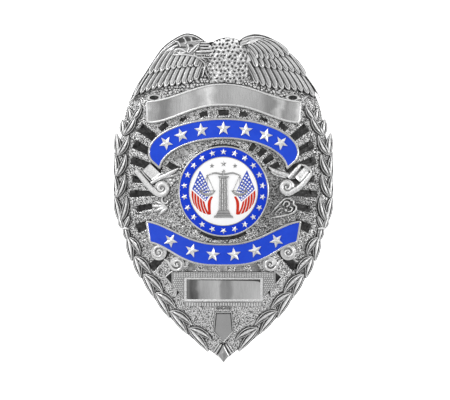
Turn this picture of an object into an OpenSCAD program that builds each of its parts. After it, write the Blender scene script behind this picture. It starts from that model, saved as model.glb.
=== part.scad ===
// Police shield badge: a domed oval shield that lies on its back. X is across, Y runs up to the eagle
// and Z comes out of the face. The origin is the middle of the badge on the plane that it rests on.

/* [Shield] */
// Height of the badge, from the drop's tip to the wings
badge_h = 79.7; // [74:0.1:86]
// Width of the badge across the wreaths
badge_w = 53.2; // [50:0.1:58]
// Height of the plate's face above the resting plane, at the middle
crown_h = 6.6; // [6:0.1:9]
// Radius of the dome across the badge
across_r = 80; // [75:1:120]
// Radius of the dome along the badge
along_r = 180; // [170:1:260]
// Thickness of the domed plate
plate_wall = 1.7; // [1.2:0.1:2.4]
// Width of the flat rim that the badge rests on
rim_w = 1.6; // [1:0.1:2.4]
// How far the wreath's leaves stand out past the plate's edge
overhang = 0.5; // [0.2:0.1:0.8]
// Gap between the plate and the pieces on it
seat_gap = 0.1; // [0.06:0.01:0.2]
// Gap between an enamel and the metal around it
enamel_gap = 0.04; // [0.02:0.01:0.08]

/* [Rays] */
// Rays in the full circle
ray_count = 36; // [24:1:48]
// Width of a sunk ray as a share of its pitch
ray_share = 0.47; // [0.3:0.01:0.6]
// Depth of the sunk rays
ray_depth = 0.7; // [0.3:0.1:1]
// Width of the plate's margin outside the rays
ray_margin = 4.6; // [4:0.1:6]

/* [Eagle] */
// Height of the wings' leading edge above the plate
wing_relief = 2; // [1.4:0.1:2.6]
// Height of the head above the plate
head_relief = 3; // [2.2:0.1:3.6]
// Width of the head
head_w = 8.4; // [7:0.1:9]
// Feathers in each row of a wing
feather_count = 9; // [6:1:11]
// Height of a feather's rib over its edges
feather_bevel = 0.45; // [0.3:0.05:0.6]
// Width of a wing's leading edge at the shoulder
lead_w = 1.9; // [1.5:0.1:2.2]

/* [Wreath] */
// Leaf pairs in each upper branch
upper_pairs = 5; // [4:1:6]
// Leaf pairs in each lower branch
lower_pairs = 6; // [5:1:7]
// Length of a leaf
leaf_l = 5.7; // [4.8:0.1:6.4]
// Width of a leaf
leaf_w = 1.6; // [1.2:0.1:2]
// Height of a leaf's rib above the plate
leaf_relief = 1.3; // [1:0.1:1.8]
// Height of a leaf's thin edge above the plate
leaf_edge = 0.6; // [0.5:0.05:0.8]
// Distance of the branch from the plate's edge
branch_inset = 1.5; // [1.3:0.1:1.8]
// Width of the branch
branch_w = 1.5; // [1.2:0.1:2]
// How far the inner leaves of the upper branch spread from it
upper_spread = 1.3; // [1:0.1:1.6]
// How far the inner leaves of the lower branch spread from it
lower_spread = 1.5; // [1.2:0.1:1.8]

/* [Rank panel] */
// Length of the rank panel
rank_w = 37.4; // [34:0.1:39]
// Height of the rank panel at its middle
rank_h = 5.4; // [4.6:0.1:6]
// How far the panel's ends drop below its middle
rank_drop = 4.2; // [3.4:0.1:4.8]
// Relief of the panel's rim above the plate
rank_relief = 1.4; // [1.1:0.1:1.8]
// Depth of the panel's face below its rim
rank_sink = 0.3; // [0.2:0.05:0.5]
// Gap between the rank panel and the upper ribbon
rank_clear = 2.9; // [2.4:0.1:3.4]
// Radius of the folded ear at each end of the panel
ear_r = 2.1; // [1.7:0.1:2.4]

/* [Ribbons] */
// Length of the upper ribbon
upper_w = 36.2; // [34:0.1:38]
// Height of the upper ribbon at its middle
upper_h = 5.1; // [4.6:0.1:5.6]
// How far the upper ribbon's ends drop below its middle
upper_drop = 8.2; // [7.6:0.1:8.8]
// Width of the upper ribbon at its ends
upper_end_w = 3.1; // [2.8:0.1:3.6]
// Length of the lower ribbon
lower_w = 37.4; // [35:0.1:39]
// Height of the lower ribbon at its middle
lower_h = 5.5; // [5:0.1:6]
// How far the lower ribbon's ends rise above its middle
lower_rise = 5.5; // [5:0.1:6]
// Relief of the ribbons' frames above the plate
ribbon_relief = 1.6; // [1.3:0.1:1.9]
// Depth of the ribbons' enamel
enamel_depth = 0.5; // [0.3:0.1:0.7]
// How far an enamel's face lies below the metal around it
enamel_low = 0.12; // [0.08:0.01:0.16]
// Width of the metal frame around an enamel
frame_w = 0.5; // [0.35:0.05:0.7]
// Stars on the upper ribbon
upper_stars = 7; // [5:2:9]
// Stars on the lower ribbon
lower_stars = 6; // [4:1:7]
// Radius of a ribbon's star
star_r = 1.55; // [1.2:0.05:1.7]

/* [Scrolls] */
// Width of a scroll beside the seal
scroll_w = 9.9; // [9.2:0.1:10.2]
// Radius of a scroll's roll
roll_r = 1.9; // [1.6:0.1:2.1]
// Relief of a scroll's roll above the plate
roll_relief = 1.5; // [1.2:0.1:1.8]
// Relief of the flat leaves above the plate
leaf_flat = 0.9; // [0.7:0.1:1]
// Radius of a tail's rolls
tail_r = 1.6; // [1.3:0.1:1.7]
// Relief of a tail's rolls above the plate
tail_relief = 1.3; // [1.1:0.1:1.6]
// Gap between a tail and the pieces next to it
tail_clear = 0.35; // [0.25:0.05:0.5]

/* [Seal] */
// Diameter of the seal
seal_d = 21.6; // [20.6:0.1:22.4]
// Width of the seal's outer rim
seal_rim = 0.4; // [0.3:0.05:0.6]
// Depth of the seal's floor under its rim
seal_sink = 0.7; // [0.5:0.05:0.9]
// Height of the emblem over the seal's rim
emblem_rise = 0.25; // [0.15:0.05:0.4]
// Relief of the seal's rim above the plate
seal_relief = 2.2; // [1.9:0.1:2.8]
// Width of the blue ring
ring_w = 2.05; // [1.8:0.05:2.4]
// Width of the metal line between the ring and the field
ring_line = 0.3; // [0.2:0.05:0.5]
// Small stars around the ring
ring_stars = 22; // [16:1:26]
// Gap between the seal and the ribbons
seal_clear = 1.6; // [1.2:0.1:2.2]

/* [Number panel] */
// Width of the sunk plate
number_w = 17.6; // [15:0.1:19]
// Height of the sunk plate
number_h = 4.8; // [4.2:0.1:5.4]
// Width of the knurled blocks beside the plate
knurl_w = 3.6; // [3:0.1:4]
// Height of the knurled strip over the plate
strip_h = 1.7; // [1.4:0.1:2]
// Height of the knurled strip under the plate
sill_h = 1.6; // [1.2:0.1:2]
// Relief of the panel's frame above the plate
number_relief = 1.2; // [1:0.1:1.5]
// Depth of the sunk plate
number_sink = 0.6; // [0.4:0.1:0.8]
// Gap between the lower ribbon and the panel
number_clear = 1.4; // [1.2:0.1:1.8]

/* [Tip] */
// Width of the small shield over the lower tip
tip_w = 4.2; // [3.6:0.1:4.8]
// Gap between the number panel and the small shield
tip_clear = 1.9; // [1.5:0.1:2.3]
// Relief of the small shield above the plate
tip_relief = 1.3; // [1.1:0.1:1.6]
// Width of the drop at the lower tip
drop_w = 3; // [2.4:0.1:3.4]
// Height of the drop
drop_h = 4.6; // [4:0.1:5.2]
// Relief of the drop above the plate
drop_relief = 1.8; // [1.4:0.1:2.2]

/* [Pin] */
// Length of the pin clasp
pin_l = 34; // [28:0.5:38]
// Diameter of the pin
pin_d = 1.2; // [0.9:0.1:1.5]
// Height of the pin's blocks
block_h = 3.4; // [3:0.1:3.8]
// Width of the pin's blocks
block_w = 3.2; // [2.6:0.1:3.8]
// Length of the pin's blocks
block_l = 4; // [3.4:0.1:4.6]

/* [Hidden] */

metal = "silver";
polished = "gainsboro";
blue = "royalblue";
dome_fn = 240;
tall = 2.2 * crown_h;
plate_w = badge_w - 2 * overhang;
// Lift of crossing blades off the seat, so that no two of their faces coincide
blade_lift = 0.2;
// Gap around the band of rays, and between the rays and the seal
ray_clear = 0.5;

// Heights of the stacked pieces on the middle line, from the seal outwards
seal_y = 0.017 * badge_h;
upper_bottom = seal_y + seal_d / 2 + seal_clear;
upper_top = upper_bottom + upper_h;
rank_bottom = upper_top + rank_clear;
rank_top = rank_bottom + rank_h;
lower_top = seal_y - seal_d / 2 - seal_clear;
lower_bottom = lower_top - lower_h;
number_top = lower_bottom - number_clear;
number_bottom = number_top - strip_h - number_h - sill_h;
tip_top = number_bottom - tip_clear;
tip_point = drop_h + seat_gap * 3 - badge_h / 2;
eagle_span = badge_h / 2 - rank_top;

// Heights of the wreath: where the two branches meet, and the end of each
wreath_joint_y = -0.095 * badge_h;
upper_end_y = 0.260 * badge_h;
lower_end_y = -0.464 * badge_h;

// Right edge of the plate, from the top down: height as a share of badge_h, half width of plate_w
EDGE = [
    [0.469, 0.000], [0.467, 0.077], [0.479, 0.115], [0.488, 0.161], [0.483, 0.199], [0.466, 0.230],
    [0.433, 0.284], [0.393, 0.335], [0.336, 0.397], [0.286, 0.435], [0.245, 0.452], [0.195, 0.466],
    [0.125, 0.489], [0.062, 0.496], [0.000, 0.489], [-0.075, 0.462], [-0.130, 0.440],
    [-0.183, 0.421], [-0.238, 0.381], [-0.292, 0.331], [-0.346, 0.268], [-0.400, 0.186],
    [-0.437, 0.119], [-0.464, 0.056], [-0.485, 0.018]
];
edge_steps = 3;

// Curves and loops

function unit(v) = v / norm(v);
function left_of(v) = [-v[1], v[0]];
function mix(a, b, t) = a * (1 - t) + b * t;
function bezier(a, b, c, t) = mix(mix(a, b, t), mix(b, c, t), t);
function flip(points) = [for (p = points) [-p[0], p[1]]];
function reversed(list) = [for (i = [len(list) - 1:-1:0]) list[i]];

// A point at share t between rows i and i + 1 of a smooth curve through all rows
function curve_point(rows, i, t) =
    let (
        last = len(rows) - 1,
        a = rows[max(i - 1, 0)],
        b = rows[i],
        c = rows[min(i + 1, last)],
        d = rows[min(i + 2, last)]
    )
    0.5 * (2 * b + (c - a) * t + (2 * a - 5 * b + 4 * c - d) * t * t
        + (3 * b - a - 3 * c + d) * t * t * t);

function smooth(rows, steps) = concat(
    [for (i = [0:len(rows) - 2], k = [0:steps - 1]) curve_point(rows, i, k / steps)],
    [rows[len(rows) - 1]]
);

// The loop, counterclockwise, moved inwards by d
function inset(loop, d) =
    let (n = len(loop))
    [for (i = [0:n - 1])
        let (
            before = left_of(unit(loop[i] - loop[(i + n - 1) % n])),
            after = left_of(unit(loop[(i + 1) % n] - loop[i])),
            both = before + after
        )
        loop[i] + both * (2 * d / (both * both))];

function arc(r, from, to, steps) =
    [for (k = [0:steps]) let (a = from + (to - from) * k / steps) r * [cos(a), sin(a)]];

function star(r, turn = 0) =
    [for (k = [0:9]) let (a = 90 + turn + 36 * k, s = k % 2 == 0 ? r : 0.42 * r) s * [cos(a), sin(a)]];

// The plate's edge

edge_rows = smooth(EDGE, edge_steps);
right_edge = [for (row = edge_rows) [row[1] * plate_w, row[0] * badge_h]];
by_height = [for (p = reversed(right_edge)) if (p[1] < 0.43 * badge_h) [p[1], p[0]]];
plate_loop = concat(reversed(right_edge), flip([for (p = right_edge) if (p[0] > 0) p]));

// Half width of the plate at a height
function half_width(y) = lookup(y, by_height);
// Direction down the right edge, and straight inwards from it, at a height
function edge_down(y) = unit([half_width(y - 0.8) - half_width(y + 0.8), -1.6]);
function edge_in(y) = let (d = edge_down(y)) [d[1], -d[0]];
function edge_at(y) = [half_width(y), y];

// The dome

// Height of a level above the plate's face at a place, or below it where level is negative
function face_z(p, level) =
    let (ring = sqrt(pow(along_r + level, 2) - p[1] * p[1]) - along_r + across_r)
    sqrt(ring * ring - p[0] * p[0]) + crown_h - across_r;
function on_dome(p, level) = [p[0], p[1], face_z(p, level)];

// Children moved to a level over a place, turned so that their z axis stands square on the dome
module stood_on(p, level) {
    step = [0.5, 0];
    slope_x = face_z(p + step, 0) - face_z(p - step, 0);
    slope_y = face_z(p + left_of(step), 0) - face_z(p - left_of(step), 0);
    translate(on_dome(p, level)) rotate([atan(slope_y), -atan(slope_x), 0]) children();
}

// Everything under a level, as a barrel that bows both across and along the badge
module under(level) {
    reach = 0.6 * badge_h;
    translate([0, 0, crown_h - across_r]) rotate([90, 0, 0]) rotate_extrude($fn = dome_fn)
        intersection() {
            translate([across_r - along_r, 0]) circle(r = along_r + level, $fn = dome_fn);
            translate([0, -reach]) square([2 * across_r, 2 * reach]);
        }
}

// An outline made solid between two levels
module layer(low, high) {
    intersection() {
        linear_extrude(height = tall) children();
        difference() {
            under(high);
            under(low);
        }
    }
}

// Relief blades: leaves and feathers with a rib along the middle

// Stations of a leaf and of a feather: share of the length, share of half the width, share of the rib
LEAF = [[0, 0.3, 0.5], [0.4, 1, 1], [0.75, 0.68, 0.85], [1, 0.08, 0.4]];
FEATHER = [[0, 0.9, 0.9], [0.82, 0.92, 0.9], [1, 0.35, 0.5]];

// A blade from a to b: its underside at level low, its edges at level edge, its rib at level rib
module blade(a, b, width, low, edge, rib, stations) {
    side = left_of(unit(b - a)) * width / 2;
    points = [for (s = stations)
        let (p = mix(a, b, s[0]), top = edge + (rib - edge) * s[2])
        each [
            on_dome(p - side * s[1], low), on_dome(p - side * s[1], edge), on_dome(p, top),
            on_dome(p + side * s[1], edge), on_dome(p + side * s[1], low)
        ]];
    last = 5 * (len(stations) - 1);
    walls = [for (i = [0:5:last - 5], k = [0:4])
        [i + k, i + (k + 1) % 5, i + 5 + (k + 1) % 5, i + 5 + k]];
    ends = [[for (k = [4:-1:0]) k], [for (k = [0:4]) last + k]];
    hull() polyhedron(points = points, faces = concat(walls, ends));
}

// A flat strip of one width along a line of points, between two levels
module strip(line, width, low, high) {
    last = len(line) - 1;
    points = [for (i = [0:last])
        let (side = left_of(unit(line[min(i + 1, last)] - line[max(i - 1, 0)])) * width / 2)
        each [
            on_dome(line[i] - side, low), on_dome(line[i] - side, high),
            on_dome(line[i] + side, high), on_dome(line[i] + side, low)
        ]];
    walls = [for (i = [0:4:4 * last - 4], k = [0:3])
        [i + k, i + (k + 1) % 4, i + 4 + (k + 1) % 4, i + 4 + k]];
    polyhedron(points = points, faces = concat([[3, 2, 1, 0]], walls, [[for (k = [0:3]) 4 * last + k]]));
}

// A small convex slab over the dome
module slab(corners, low, high) {
    n = len(corners);
    points = concat(
        [for (c = corners) on_dome(c, low)],
        [for (c = corners) on_dome(c, high)]
    );
    walls = [for (k = [0:n - 1]) [k, (k + 1) % n, n + (k + 1) % n, n + k]];
    ends = [[for (k = [n - 1:-1:0]) k], [for (k = [0:n - 1]) n + k]];
    hull() polyhedron(points = points, faces = concat(walls, ends));
}

// Shield plate

module ray_outlines() {
    pitch = 360 / ray_count;
    half = ray_share * pitch / 2;
    reach = badge_h;
    start = seal_d / 2 + ray_clear;
    intersection() {
        polygon(inset(plate_loop, ray_margin));
        translate([-badge_w / 2, number_top + ray_clear])
            square([badge_w, rank_bottom - number_top]);
        translate([0, seal_y]) for (k = [0:ray_count - 1]) {
            a = k * pitch;
            mid = [cos(a), sin(a)];
            side = left_of(mid);
            near = start * tan(half);
            far = 0.6 * reach * tan(half);
            polygon([
                start * mid - near * side, reach * mid - far * side,
                reach * mid + far * side, start * mid + near * side
            ]);
        }
    }
}

module shield_plate() color(metal) {
    hollow_loop = [for (p = inset(plate_loop, rim_w)) if (p[1] > -0.46 * badge_h) p];
    difference() {
        intersection() {
            linear_extrude(height = tall) polygon(plate_loop);
            under(0);
        }
        intersection() {
            translate([0, 0, -1]) linear_extrude(height = tall) polygon(hollow_loop);
            under(-plate_wall);
        }
        difference() {
            linear_extrude(height = tall) ray_outlines();
            under(-ray_depth);
        }
    }
}

// Wreath

// One pair of leaves and the bud between them, from an apex on the branch, opening up or down.
// The three start side by side at slightly different depths, so that no two faces coincide.
module leaf_pair(y, spread_in, spread_out, dir) {
    apex = edge_at(y) + edge_in(y) * branch_inset;
    ahead = edge_down(y) * dir * leaf_l;
    aside = edge_in(y);
    leaf(apex + aside * 0.13 * leaf_w, apex + ahead * 0.94 + aside * spread_in, 1, 1);
    leaf(apex - aside * 0.11 * leaf_w, apex + ahead * 0.94 - aside * spread_out, 1, 1.25);
    leaf(apex + ahead * 0.11, apex + ahead * 0.8, 0.6, 1.5);
}

module leaf(a, b, share, lifts) {
    rib = leaf_edge + (leaf_relief - leaf_edge) * (0.3 + 0.7 * share);
    blade(a, b, leaf_w * share, seat_gap + lifts * blade_lift, leaf_edge, rib, LEAF);
}

module wreath() {
    upper_pitch = (upper_end_y - wreath_joint_y) / (upper_pairs + 0.6);
    lower_pitch = (wreath_joint_y - lower_end_y) / (lower_pairs + 0.6);
    steps = 14;
    branch = [for (k = [0:steps])
        let (y = upper_end_y + (lower_end_y - upper_end_y) * k / steps)
        edge_at(y) + edge_in(y) * branch_inset];
    tip_out = branch_inset + overhang;
    strip(branch, branch_w, seat_gap, 0.8 * leaf_edge);
    for (k = [0:upper_pairs - 1])
        leaf_pair(wreath_joint_y + (k + 0.35) * upper_pitch, upper_spread, tip_out - 0.38 * leaf_w, -1);
    for (k = [0:lower_pairs - 1])
        leaf_pair(wreath_joint_y - (k + 0.5) * lower_pitch, lower_spread, tip_out - 0.25 * leaf_w, 1);
    base_y = upper_end_y - leaf_l / 2;
    base = edge_at(base_y) + edge_in(base_y) * branch_inset;
    leaf(base, base - edge_down(upper_end_y) * leaf_l + edge_in(upper_end_y) * upper_spread, 1, 1.25);
}

module wreath_right() color(metal) wreath();
module wreath_left() color(metal) mirror([1, 0, 0]) wreath();

// Eagle

// A place on the eagle: x as a share of badge_w, y as a share of eagle_span above the rank panel
function perch(p) = [p[0] * badge_w, rank_top + p[1] * eagle_span];

// Leading edge of each wing, from the shoulder out
LEFT_LEAD = [
    [-0.088, 0.830], [-0.124, 0.900], [-0.160, 0.945], [-0.196, 0.905], [-0.232, 0.800],
    [-0.298, 0.550], [-0.354, 0.225], [-0.404, -0.130], [-0.420, -0.270]
];
RIGHT_LEAD = [
    [0.070, 0.815], [0.108, 0.905], [0.142, 0.940], [0.187, 0.915], [0.232, 0.815],
    [0.277, 0.655], [0.345, 0.335], [0.413, -0.040], [0.440, -0.240]
];

// Rows of feathers, the lowest row of each wing first: the share of feather_count, the relief as a
// share of wing_relief, then the lines of the roots and of the ends, from the outside in by three points
ROWS = [
    [1.1, 0.52, [[-0.350, 0.25], [-0.23, 0.30], [-0.090, 0.34]],
        [[-0.415, -0.22], [-0.29, -0.09], [-0.150, 0.00]]],
    [1.0, 0.72, [[-0.300, 0.53], [-0.19, 0.56], [-0.088, 0.42]],
        [[-0.355, 0.20], [-0.25, 0.26], [-0.130, 0.28]]],
    [0.5, 0.90, [[-0.215, 0.84], [-0.15, 0.84], [-0.130, 0.66]],
        [[-0.290, 0.56], [-0.24, 0.56], [-0.185, 0.56]]],
    [1.0, 0.52, [[0.363, 0.22], [0.24, 0.34], [0.105, 0.42]],
        [[0.418, -0.23], [0.29, -0.12], [0.155, 0.02]]],
    [0.9, 0.72, [[0.275, 0.63], [0.19, 0.56], [0.106, 0.54]],
        [[0.368, 0.16], [0.27, 0.24], [0.165, 0.32]]],
    [0.7, 0.90, [[0.190, 0.86], [0.13, 0.78], [0.104, 0.68]],
        [[0.290, 0.57], [0.22, 0.48], [0.140, 0.42]]]
];

function row_point(line, t) = perch(bezier(line[0], line[1], line[2], t));

module feather_row(row) {
    count = round(row[0] * feather_count);
    for (k = [0:count - 1]) {
        t = (k + 0.5) / count;
        root = row_point(row[2], t);
        end = row_point(row[3], t);
        along = unit(end - root);
        pitch = abs((row_point(row[2], 1 / count) - row_point(row[2], 0)) * left_of(along));
        top = wing_relief * row[1];
        low = seat_gap + blade_lift * (1 + 0.3 * (k % 2));
        blade(root, end, 0.95 * pitch, low, top - feather_bevel, top, FEATHER);
    }
}

module leading_edge(lead) {
    line = [for (p = lead) perch(p) + unit([0, rank_bottom] - perch(p)) * 0.32 * lead_w];
    last = len(line) - 1;
    for (k = [0:last - 1]) {
        ahead = line[k + 1] + (line[k + 1] - line[k]) * 0.12;
        blade(line[k], ahead, lead_w * (1 - 0.58 * k / last), seat_gap, 0.6 * wing_relief, wing_relief,
            [[0, 1, 1], [1, 0.9, 0.95]]);
    }
}

// The wing's web under the feathers, between the leading edge and the lowest row
module web(lead, row) {
    steps = len(lead) - 1;
    low_edge = [for (k = [0:steps])
        let (t = 1 - k / steps)
        mix(row_point(row[2], t), row_point(row[3], t), 0.7)];
    net = [for (k = [0:steps]) [for (h = [0, 0.5, 1]) mix(perch(lead[k]), low_edge[k], h)]];
    for (k = [0:steps - 1], h = [0, 1])
        slab([net[k][h], net[k + 1][h], net[k + 1][h + 1], net[k][h + 1]], seat_gap, 0.25 * wing_relief);
}

// An oval lump that rises from the plate
module lump(p, rx, ry, rise) {
    stood_on(p, seat_gap + blade_lift) hull() {
        scale([rx, ry, rise]) intersection() {
            sphere(r = 1, $fn = 16);
            translate([-1, -1, 0]) cube([2, 2, 1]);
        }
    }
}

// Corners of the breast under the lumps, as places on the eagle, and a point of its net of small slabs
BREAST = [[-0.10, 0.1], [0.11, 0.1], [0.10, 0.85], [-0.10, 0.85]];
function breast(i, j) =
    perch(mix(mix(BREAST[0], BREAST[1], i / 2), mix(BREAST[3], BREAST[2], i / 2), j / 2));

// Points of the beak and the eye from the head's centre, as shares of head_w
BROW = [-0.37, 0.18];
NOSE = [-0.84, 0.12];
HOOK = [-1.10, -0.09];
JAW = [-0.37, -0.18];
CHIN = [-0.94, -0.10];
EYE = [-0.33, 0.12];

module eagle() color(metal) {
    head = perch([0.014, 0.62]);
    brow = head + BROW * head_w;
    nose = head + NOSE * head_w;
    hook = head + HOOK * head_w;
    jaw = head + JAW * head_w;
    chin = head + CHIN * head_w;
    eye = head + EYE * head_w;
    beak_low = seat_gap + 1.25 * blade_lift;
    web(LEFT_LEAD, ROWS[0]);
    web(RIGHT_LEAD, ROWS[3]);
    for (row = ROWS) feather_row(row);
    leading_edge(LEFT_LEAD);
    leading_edge(RIGHT_LEAD);
    for (i = [0, 1], j = [0, 1])
        slab([breast(i, j), breast(i + 1, j), breast(i + 1, j + 1), breast(i, j + 1)],
            seat_gap, 0.4 * wing_relief);
    lump(head, 0.48 * head_w, 0.42 * head_w, 0.9 * head_relief);
    lump(perch([0.02, 0.36]), 0.42 * head_w, 0.3 * head_w, 0.8 * head_relief);
    for (k = [0:4])
        lump(perch([0.085 - 0.042 * k, 0.17 + 0.02 * (k % 2)]), 0.14 * head_w, 0.2 * head_w, wing_relief);
    blade(brow, nose, 0.26 * head_w, beak_low, 0.4 * head_relief, 0.8 * head_relief, FEATHER);
    blade(mix(nose, brow, 0.1), hook, 0.18 * head_w, beak_low, 0.33 * head_relief, 0.65 * head_relief, LEAF);
    blade(jaw, chin, 0.2 * head_w, beak_low, 0.33 * head_relief, 0.55 * head_relief, FEATHER);
    translate(on_dome(eye, 0.68 * head_relief)) hull() sphere(r = 0.06 * head_w, $fn = 8);
}

// Rank panel

// How far a bowed line has fallen at x, as a share from 0 in the middle to 1 at half a length
function bow(x, half, power) = (1 - cos(180 * pow(abs(x) / half, power))) / 2;

// A bowed band: its top and bottom lines at the middle, the fall of each, and their half lengths
function bowed_loop(half, top, bottom, fall, top_power, bottom_power, narrow) = concat(
    [for (k = [-14:14]) let (x = k / 14 * (half - narrow))
        [x, bottom - fall * bow(x, 0.97 * half, bottom_power)]],
    [for (k = [14:-1:-14]) let (x = k / 14 * half)
        [x, top - fall * bow(x, 1.03 * half, top_power)]]
);

module rank_panel() color(polished) {
    loop = bowed_loop(rank_w / 2, rank_top, rank_bottom, rank_drop, 1, 1.15, rank_sink);
    ear = [rank_w / 2 - 1.24 * ear_r, rank_top - rank_drop + 0.24 * ear_r];
    difference() {
        layer(seat_gap, rank_relief) polygon(loop);
        layer(rank_relief - rank_sink, rank_relief + 1) polygon(inset(loop, frame_w));
    }
    for (side = [-1, 1])
        layer(seat_gap, 0.6 * rank_relief)
            translate([side * ear[0], ear[1]]) scale([1, 0.55]) circle(r = ear_r, $fn = 48);
}

// Ribbons

// The upper ribbon lies between two half ellipses: half width, height and centre of each
upper_half = upper_w / 2;
upper_outer_y = upper_top - upper_drop;
inner_half = upper_half - upper_end_w;
inner_drop = 0.9 * upper_drop;
inner_y = upper_bottom - inner_drop;

function ellipse_arc(rx, ry, y, from, to, steps) =
    [for (p = arc(1, from, to, steps)) [p[0] * rx, p[1] * ry + y]];

function upper_loop() = concat(
    ellipse_arc(upper_half, upper_drop, upper_outer_y, -14, 194, 34),
    ellipse_arc(inner_half, inner_drop, inner_y, 180, 0, 22)
);

// Places for motifs along the middle of the upper ribbon: position and turn
function upper_spot(t) =
    let (
        a = 90 - 56 * t,
        x = (upper_half + inner_half) / 2 * cos(a),
        y = (upper_drop + inner_drop) / 2 * sin(a) + (upper_outer_y + inner_y) / 2
    )
    [x, y, -42 * t * abs(t)];

function lower_loop() = bowed_loop(lower_w / 2, lower_top, lower_bottom, -lower_rise, 1.25, 1.6, 0.9);

function lower_spot(t) =
    let (x = 0.337 * lower_w * t)
    [
        x,
        (lower_top + lower_bottom) / 2
            + lower_rise * (bow(x, lower_w / 2, 1.25) + bow(x, lower_w / 2, 1.6)) / 2,
        30 * t
    ];

function spot_share(k, count) = count > 1 ? 2 * k / (count - 1) - 1 : 0;
upper_spots = [for (k = [0:upper_stars - 1]) upper_spot(spot_share(k, upper_stars))];
lower_spots = [for (k = [0:lower_stars - 1]) lower_spot(spot_share(k, lower_stars))];

module stars(spots, r) {
    for (s = spots) translate([s[0], s[1]]) polygon(star(r, s[2]));
}

// A metal ribbon with a sunk floor and stars that rise from it
module ribbon(loop, spots) {
    difference() {
        layer(seat_gap, ribbon_relief) polygon(loop);
        layer(ribbon_relief - enamel_depth, ribbon_relief + 1) difference() {
            polygon(inset(loop, frame_w));
            stars(spots, star_r);
        }
    }
}

module ribbon_enamel(loop, spots) {
    layer(ribbon_relief - enamel_depth + enamel_gap, ribbon_relief - enamel_low) difference() {
        polygon(inset(loop, frame_w + enamel_gap));
        stars(spots, star_r + 3 * enamel_gap);
    }
}

module upper_ribbon() color(metal) ribbon(upper_loop(), upper_spots);
module upper_enamel() color(blue) ribbon_enamel(upper_loop(), upper_spots);
module lower_ribbon() color(metal) ribbon(lower_loop(), lower_spots);
module lower_enamel() color(blue) ribbon_enamel(lower_loop(), lower_spots);

// Scrolls beside the seal

// A rolled end: a disc with a raised turn and a button
module volute(p, r, relief) {
    layer(seat_gap, 0.7 * relief) translate(p) circle(r = r, $fn = 48);
    layer(seat_gap, relief) translate(p) difference() {
        circle(r = 0.95 * r, $fn = 48);
        circle(r = 0.68 * r, $fn = 48);
    }
    layer(seat_gap, relief) translate(p) circle(r = 0.34 * r, $fn = 48);
}

// Outlines of a scroll's flat parts and the place of its roll, from the seal's edge on its middle
// line, as shares of scroll_w
FOLD = [[0.77, 0.68], [0.51, 0.42], [0.42, 0.12], [0.62, -0.16], [0.75, -0.02], [1, 0.40]];
SCROLL_LEAF = [[0.06, 0.47], [0.41, 0.12], [0.65, 0.22], [0.46, 0.44]];
BUD = [[0.16, 0.14], [0.43, 0.02], [0.43, 0.19], [0.26, 0.30]];
CURL = [[0.36, -0.42], [0.57, -0.53], [0.67, -0.40], [0.55, -0.11], [0.42, -0.06], [0.30, -0.26]];
ROLL = [0.44, 0.10];

module scroll() {
    start = [seal_d / 2, seal_y];
    layer(seat_gap, leaf_flat)
        for (outline = [FOLD, SCROLL_LEAF, BUD, CURL]) polygon([for (p = outline) start + p * scroll_w]);
    volute(start + ROLL * scroll_w, roll_r, roll_relief);
}

module scroll_right() color(metal) scroll();
module scroll_left() color(metal) mirror([1, 0, 0]) scroll();

module tail() {
    outer = [lower_w / 2 - 2.1 * tail_r, lower_bottom + lower_rise - tail_r - tail_clear];
    inner = [lower_w / 2 - 4.75 * tail_r, number_top + tail_r + tail_clear];
    side = left_of(unit(inner - outer)) * tail_r;
    difference() {
        union() {
            volute(outer, tail_r, tail_relief);
            volute(inner, 0.94 * tail_r, tail_relief);
            layer(seat_gap, 0.6 * tail_relief)
                polygon([outer - 0.62 * side, inner - 0.31 * side, inner + 0.75 * side, outer + 0.94 * side]);
        }
        linear_extrude(height = tall) polygon(inset(lower_loop(), -seat_gap));
    }
}

module tail_right() color(metal) tail();
module tail_left() color(metal) mirror([1, 0, 0]) tail();

// Seal

ring_out = seal_d / 2 - seal_rim;
ring_in = ring_out - ring_w;
field_r = ring_in - ring_line;
seal_floor = seal_relief - seal_sink;
seal_enamel = seal_relief - enamel_low;
ring_mid = (ring_out + ring_in) / 2;
ring_star_r = 0.3 * ring_w;
ring_spots = [for (k = [0:ring_stars - 1])
    let (a = 360 * k / ring_stars + 270)
    [ring_mid * cos(a), ring_mid * sin(a) + seal_y, a - 90]];

module disc(r) translate([0, seal_y]) circle(r = r, $fn = 96);

module seal_disc() color(polished) {
    difference() {
        layer(seat_gap, seal_relief) disc(seal_d / 2);
        layer(seal_floor, seal_relief + 1) difference() {
            disc(ring_out);
            disc(ring_in);
            stars(ring_spots, ring_star_r);
        }
        layer(seal_floor, seal_relief + 1) disc(field_r);
    }
}

module ring_enamel() color(blue) {
    layer(seal_floor + enamel_gap, seal_enamel) difference() {
        disc(ring_out - enamel_gap);
        disc(ring_in + enamel_gap);
        stars(ring_spots, ring_star_r + 3 * enamel_gap);
    }
}

// Bunting fans: centre, reach, and the turns of the blue wedge and the red stripes on the right side
fan_x = 0.10 * field_r;
fan_y = seal_y - 0.66 * field_r;
fan_r = 1.04 * field_r;
fan_blue = [56, 84];
fan_reds = [[2, 12], [20, 30], [38, 48]];

// A wedge of a fan, grown by an amount all round
module wedge(turns, grow) {
    half = (turns[1] - turns[0]) / 2;
    mid = (turns[1] + turns[0]) / 2;
    out = fan_r + grow;
    near = fan_r * 0.22 - grow;
    sweep = half + asin(grow / near);
    translate([fan_x, fan_y])
        polygon(concat(arc(near, mid + sweep, mid - sweep, 1), arc(out, mid - sweep, mid + sweep, 8)));
}

module fans(list, grow) {
    intersection() {
        disc(0.94 * field_r + grow);
        for (turns = list) {
            wedge(turns, grow);
            mirror([1, 0]) wedge(turns, grow);
        }
    }
}

module field_enamel() color("white") {
    layer(seal_floor + enamel_gap, seal_enamel) difference() {
        disc(field_r - enamel_gap);
        fans(concat([fan_blue], fan_reds), enamel_gap);
    }
}

module bunting_red() color("orangered") {
    layer(seal_floor + enamel_gap, seal_enamel) fans(fan_reds, 0);
}

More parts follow.
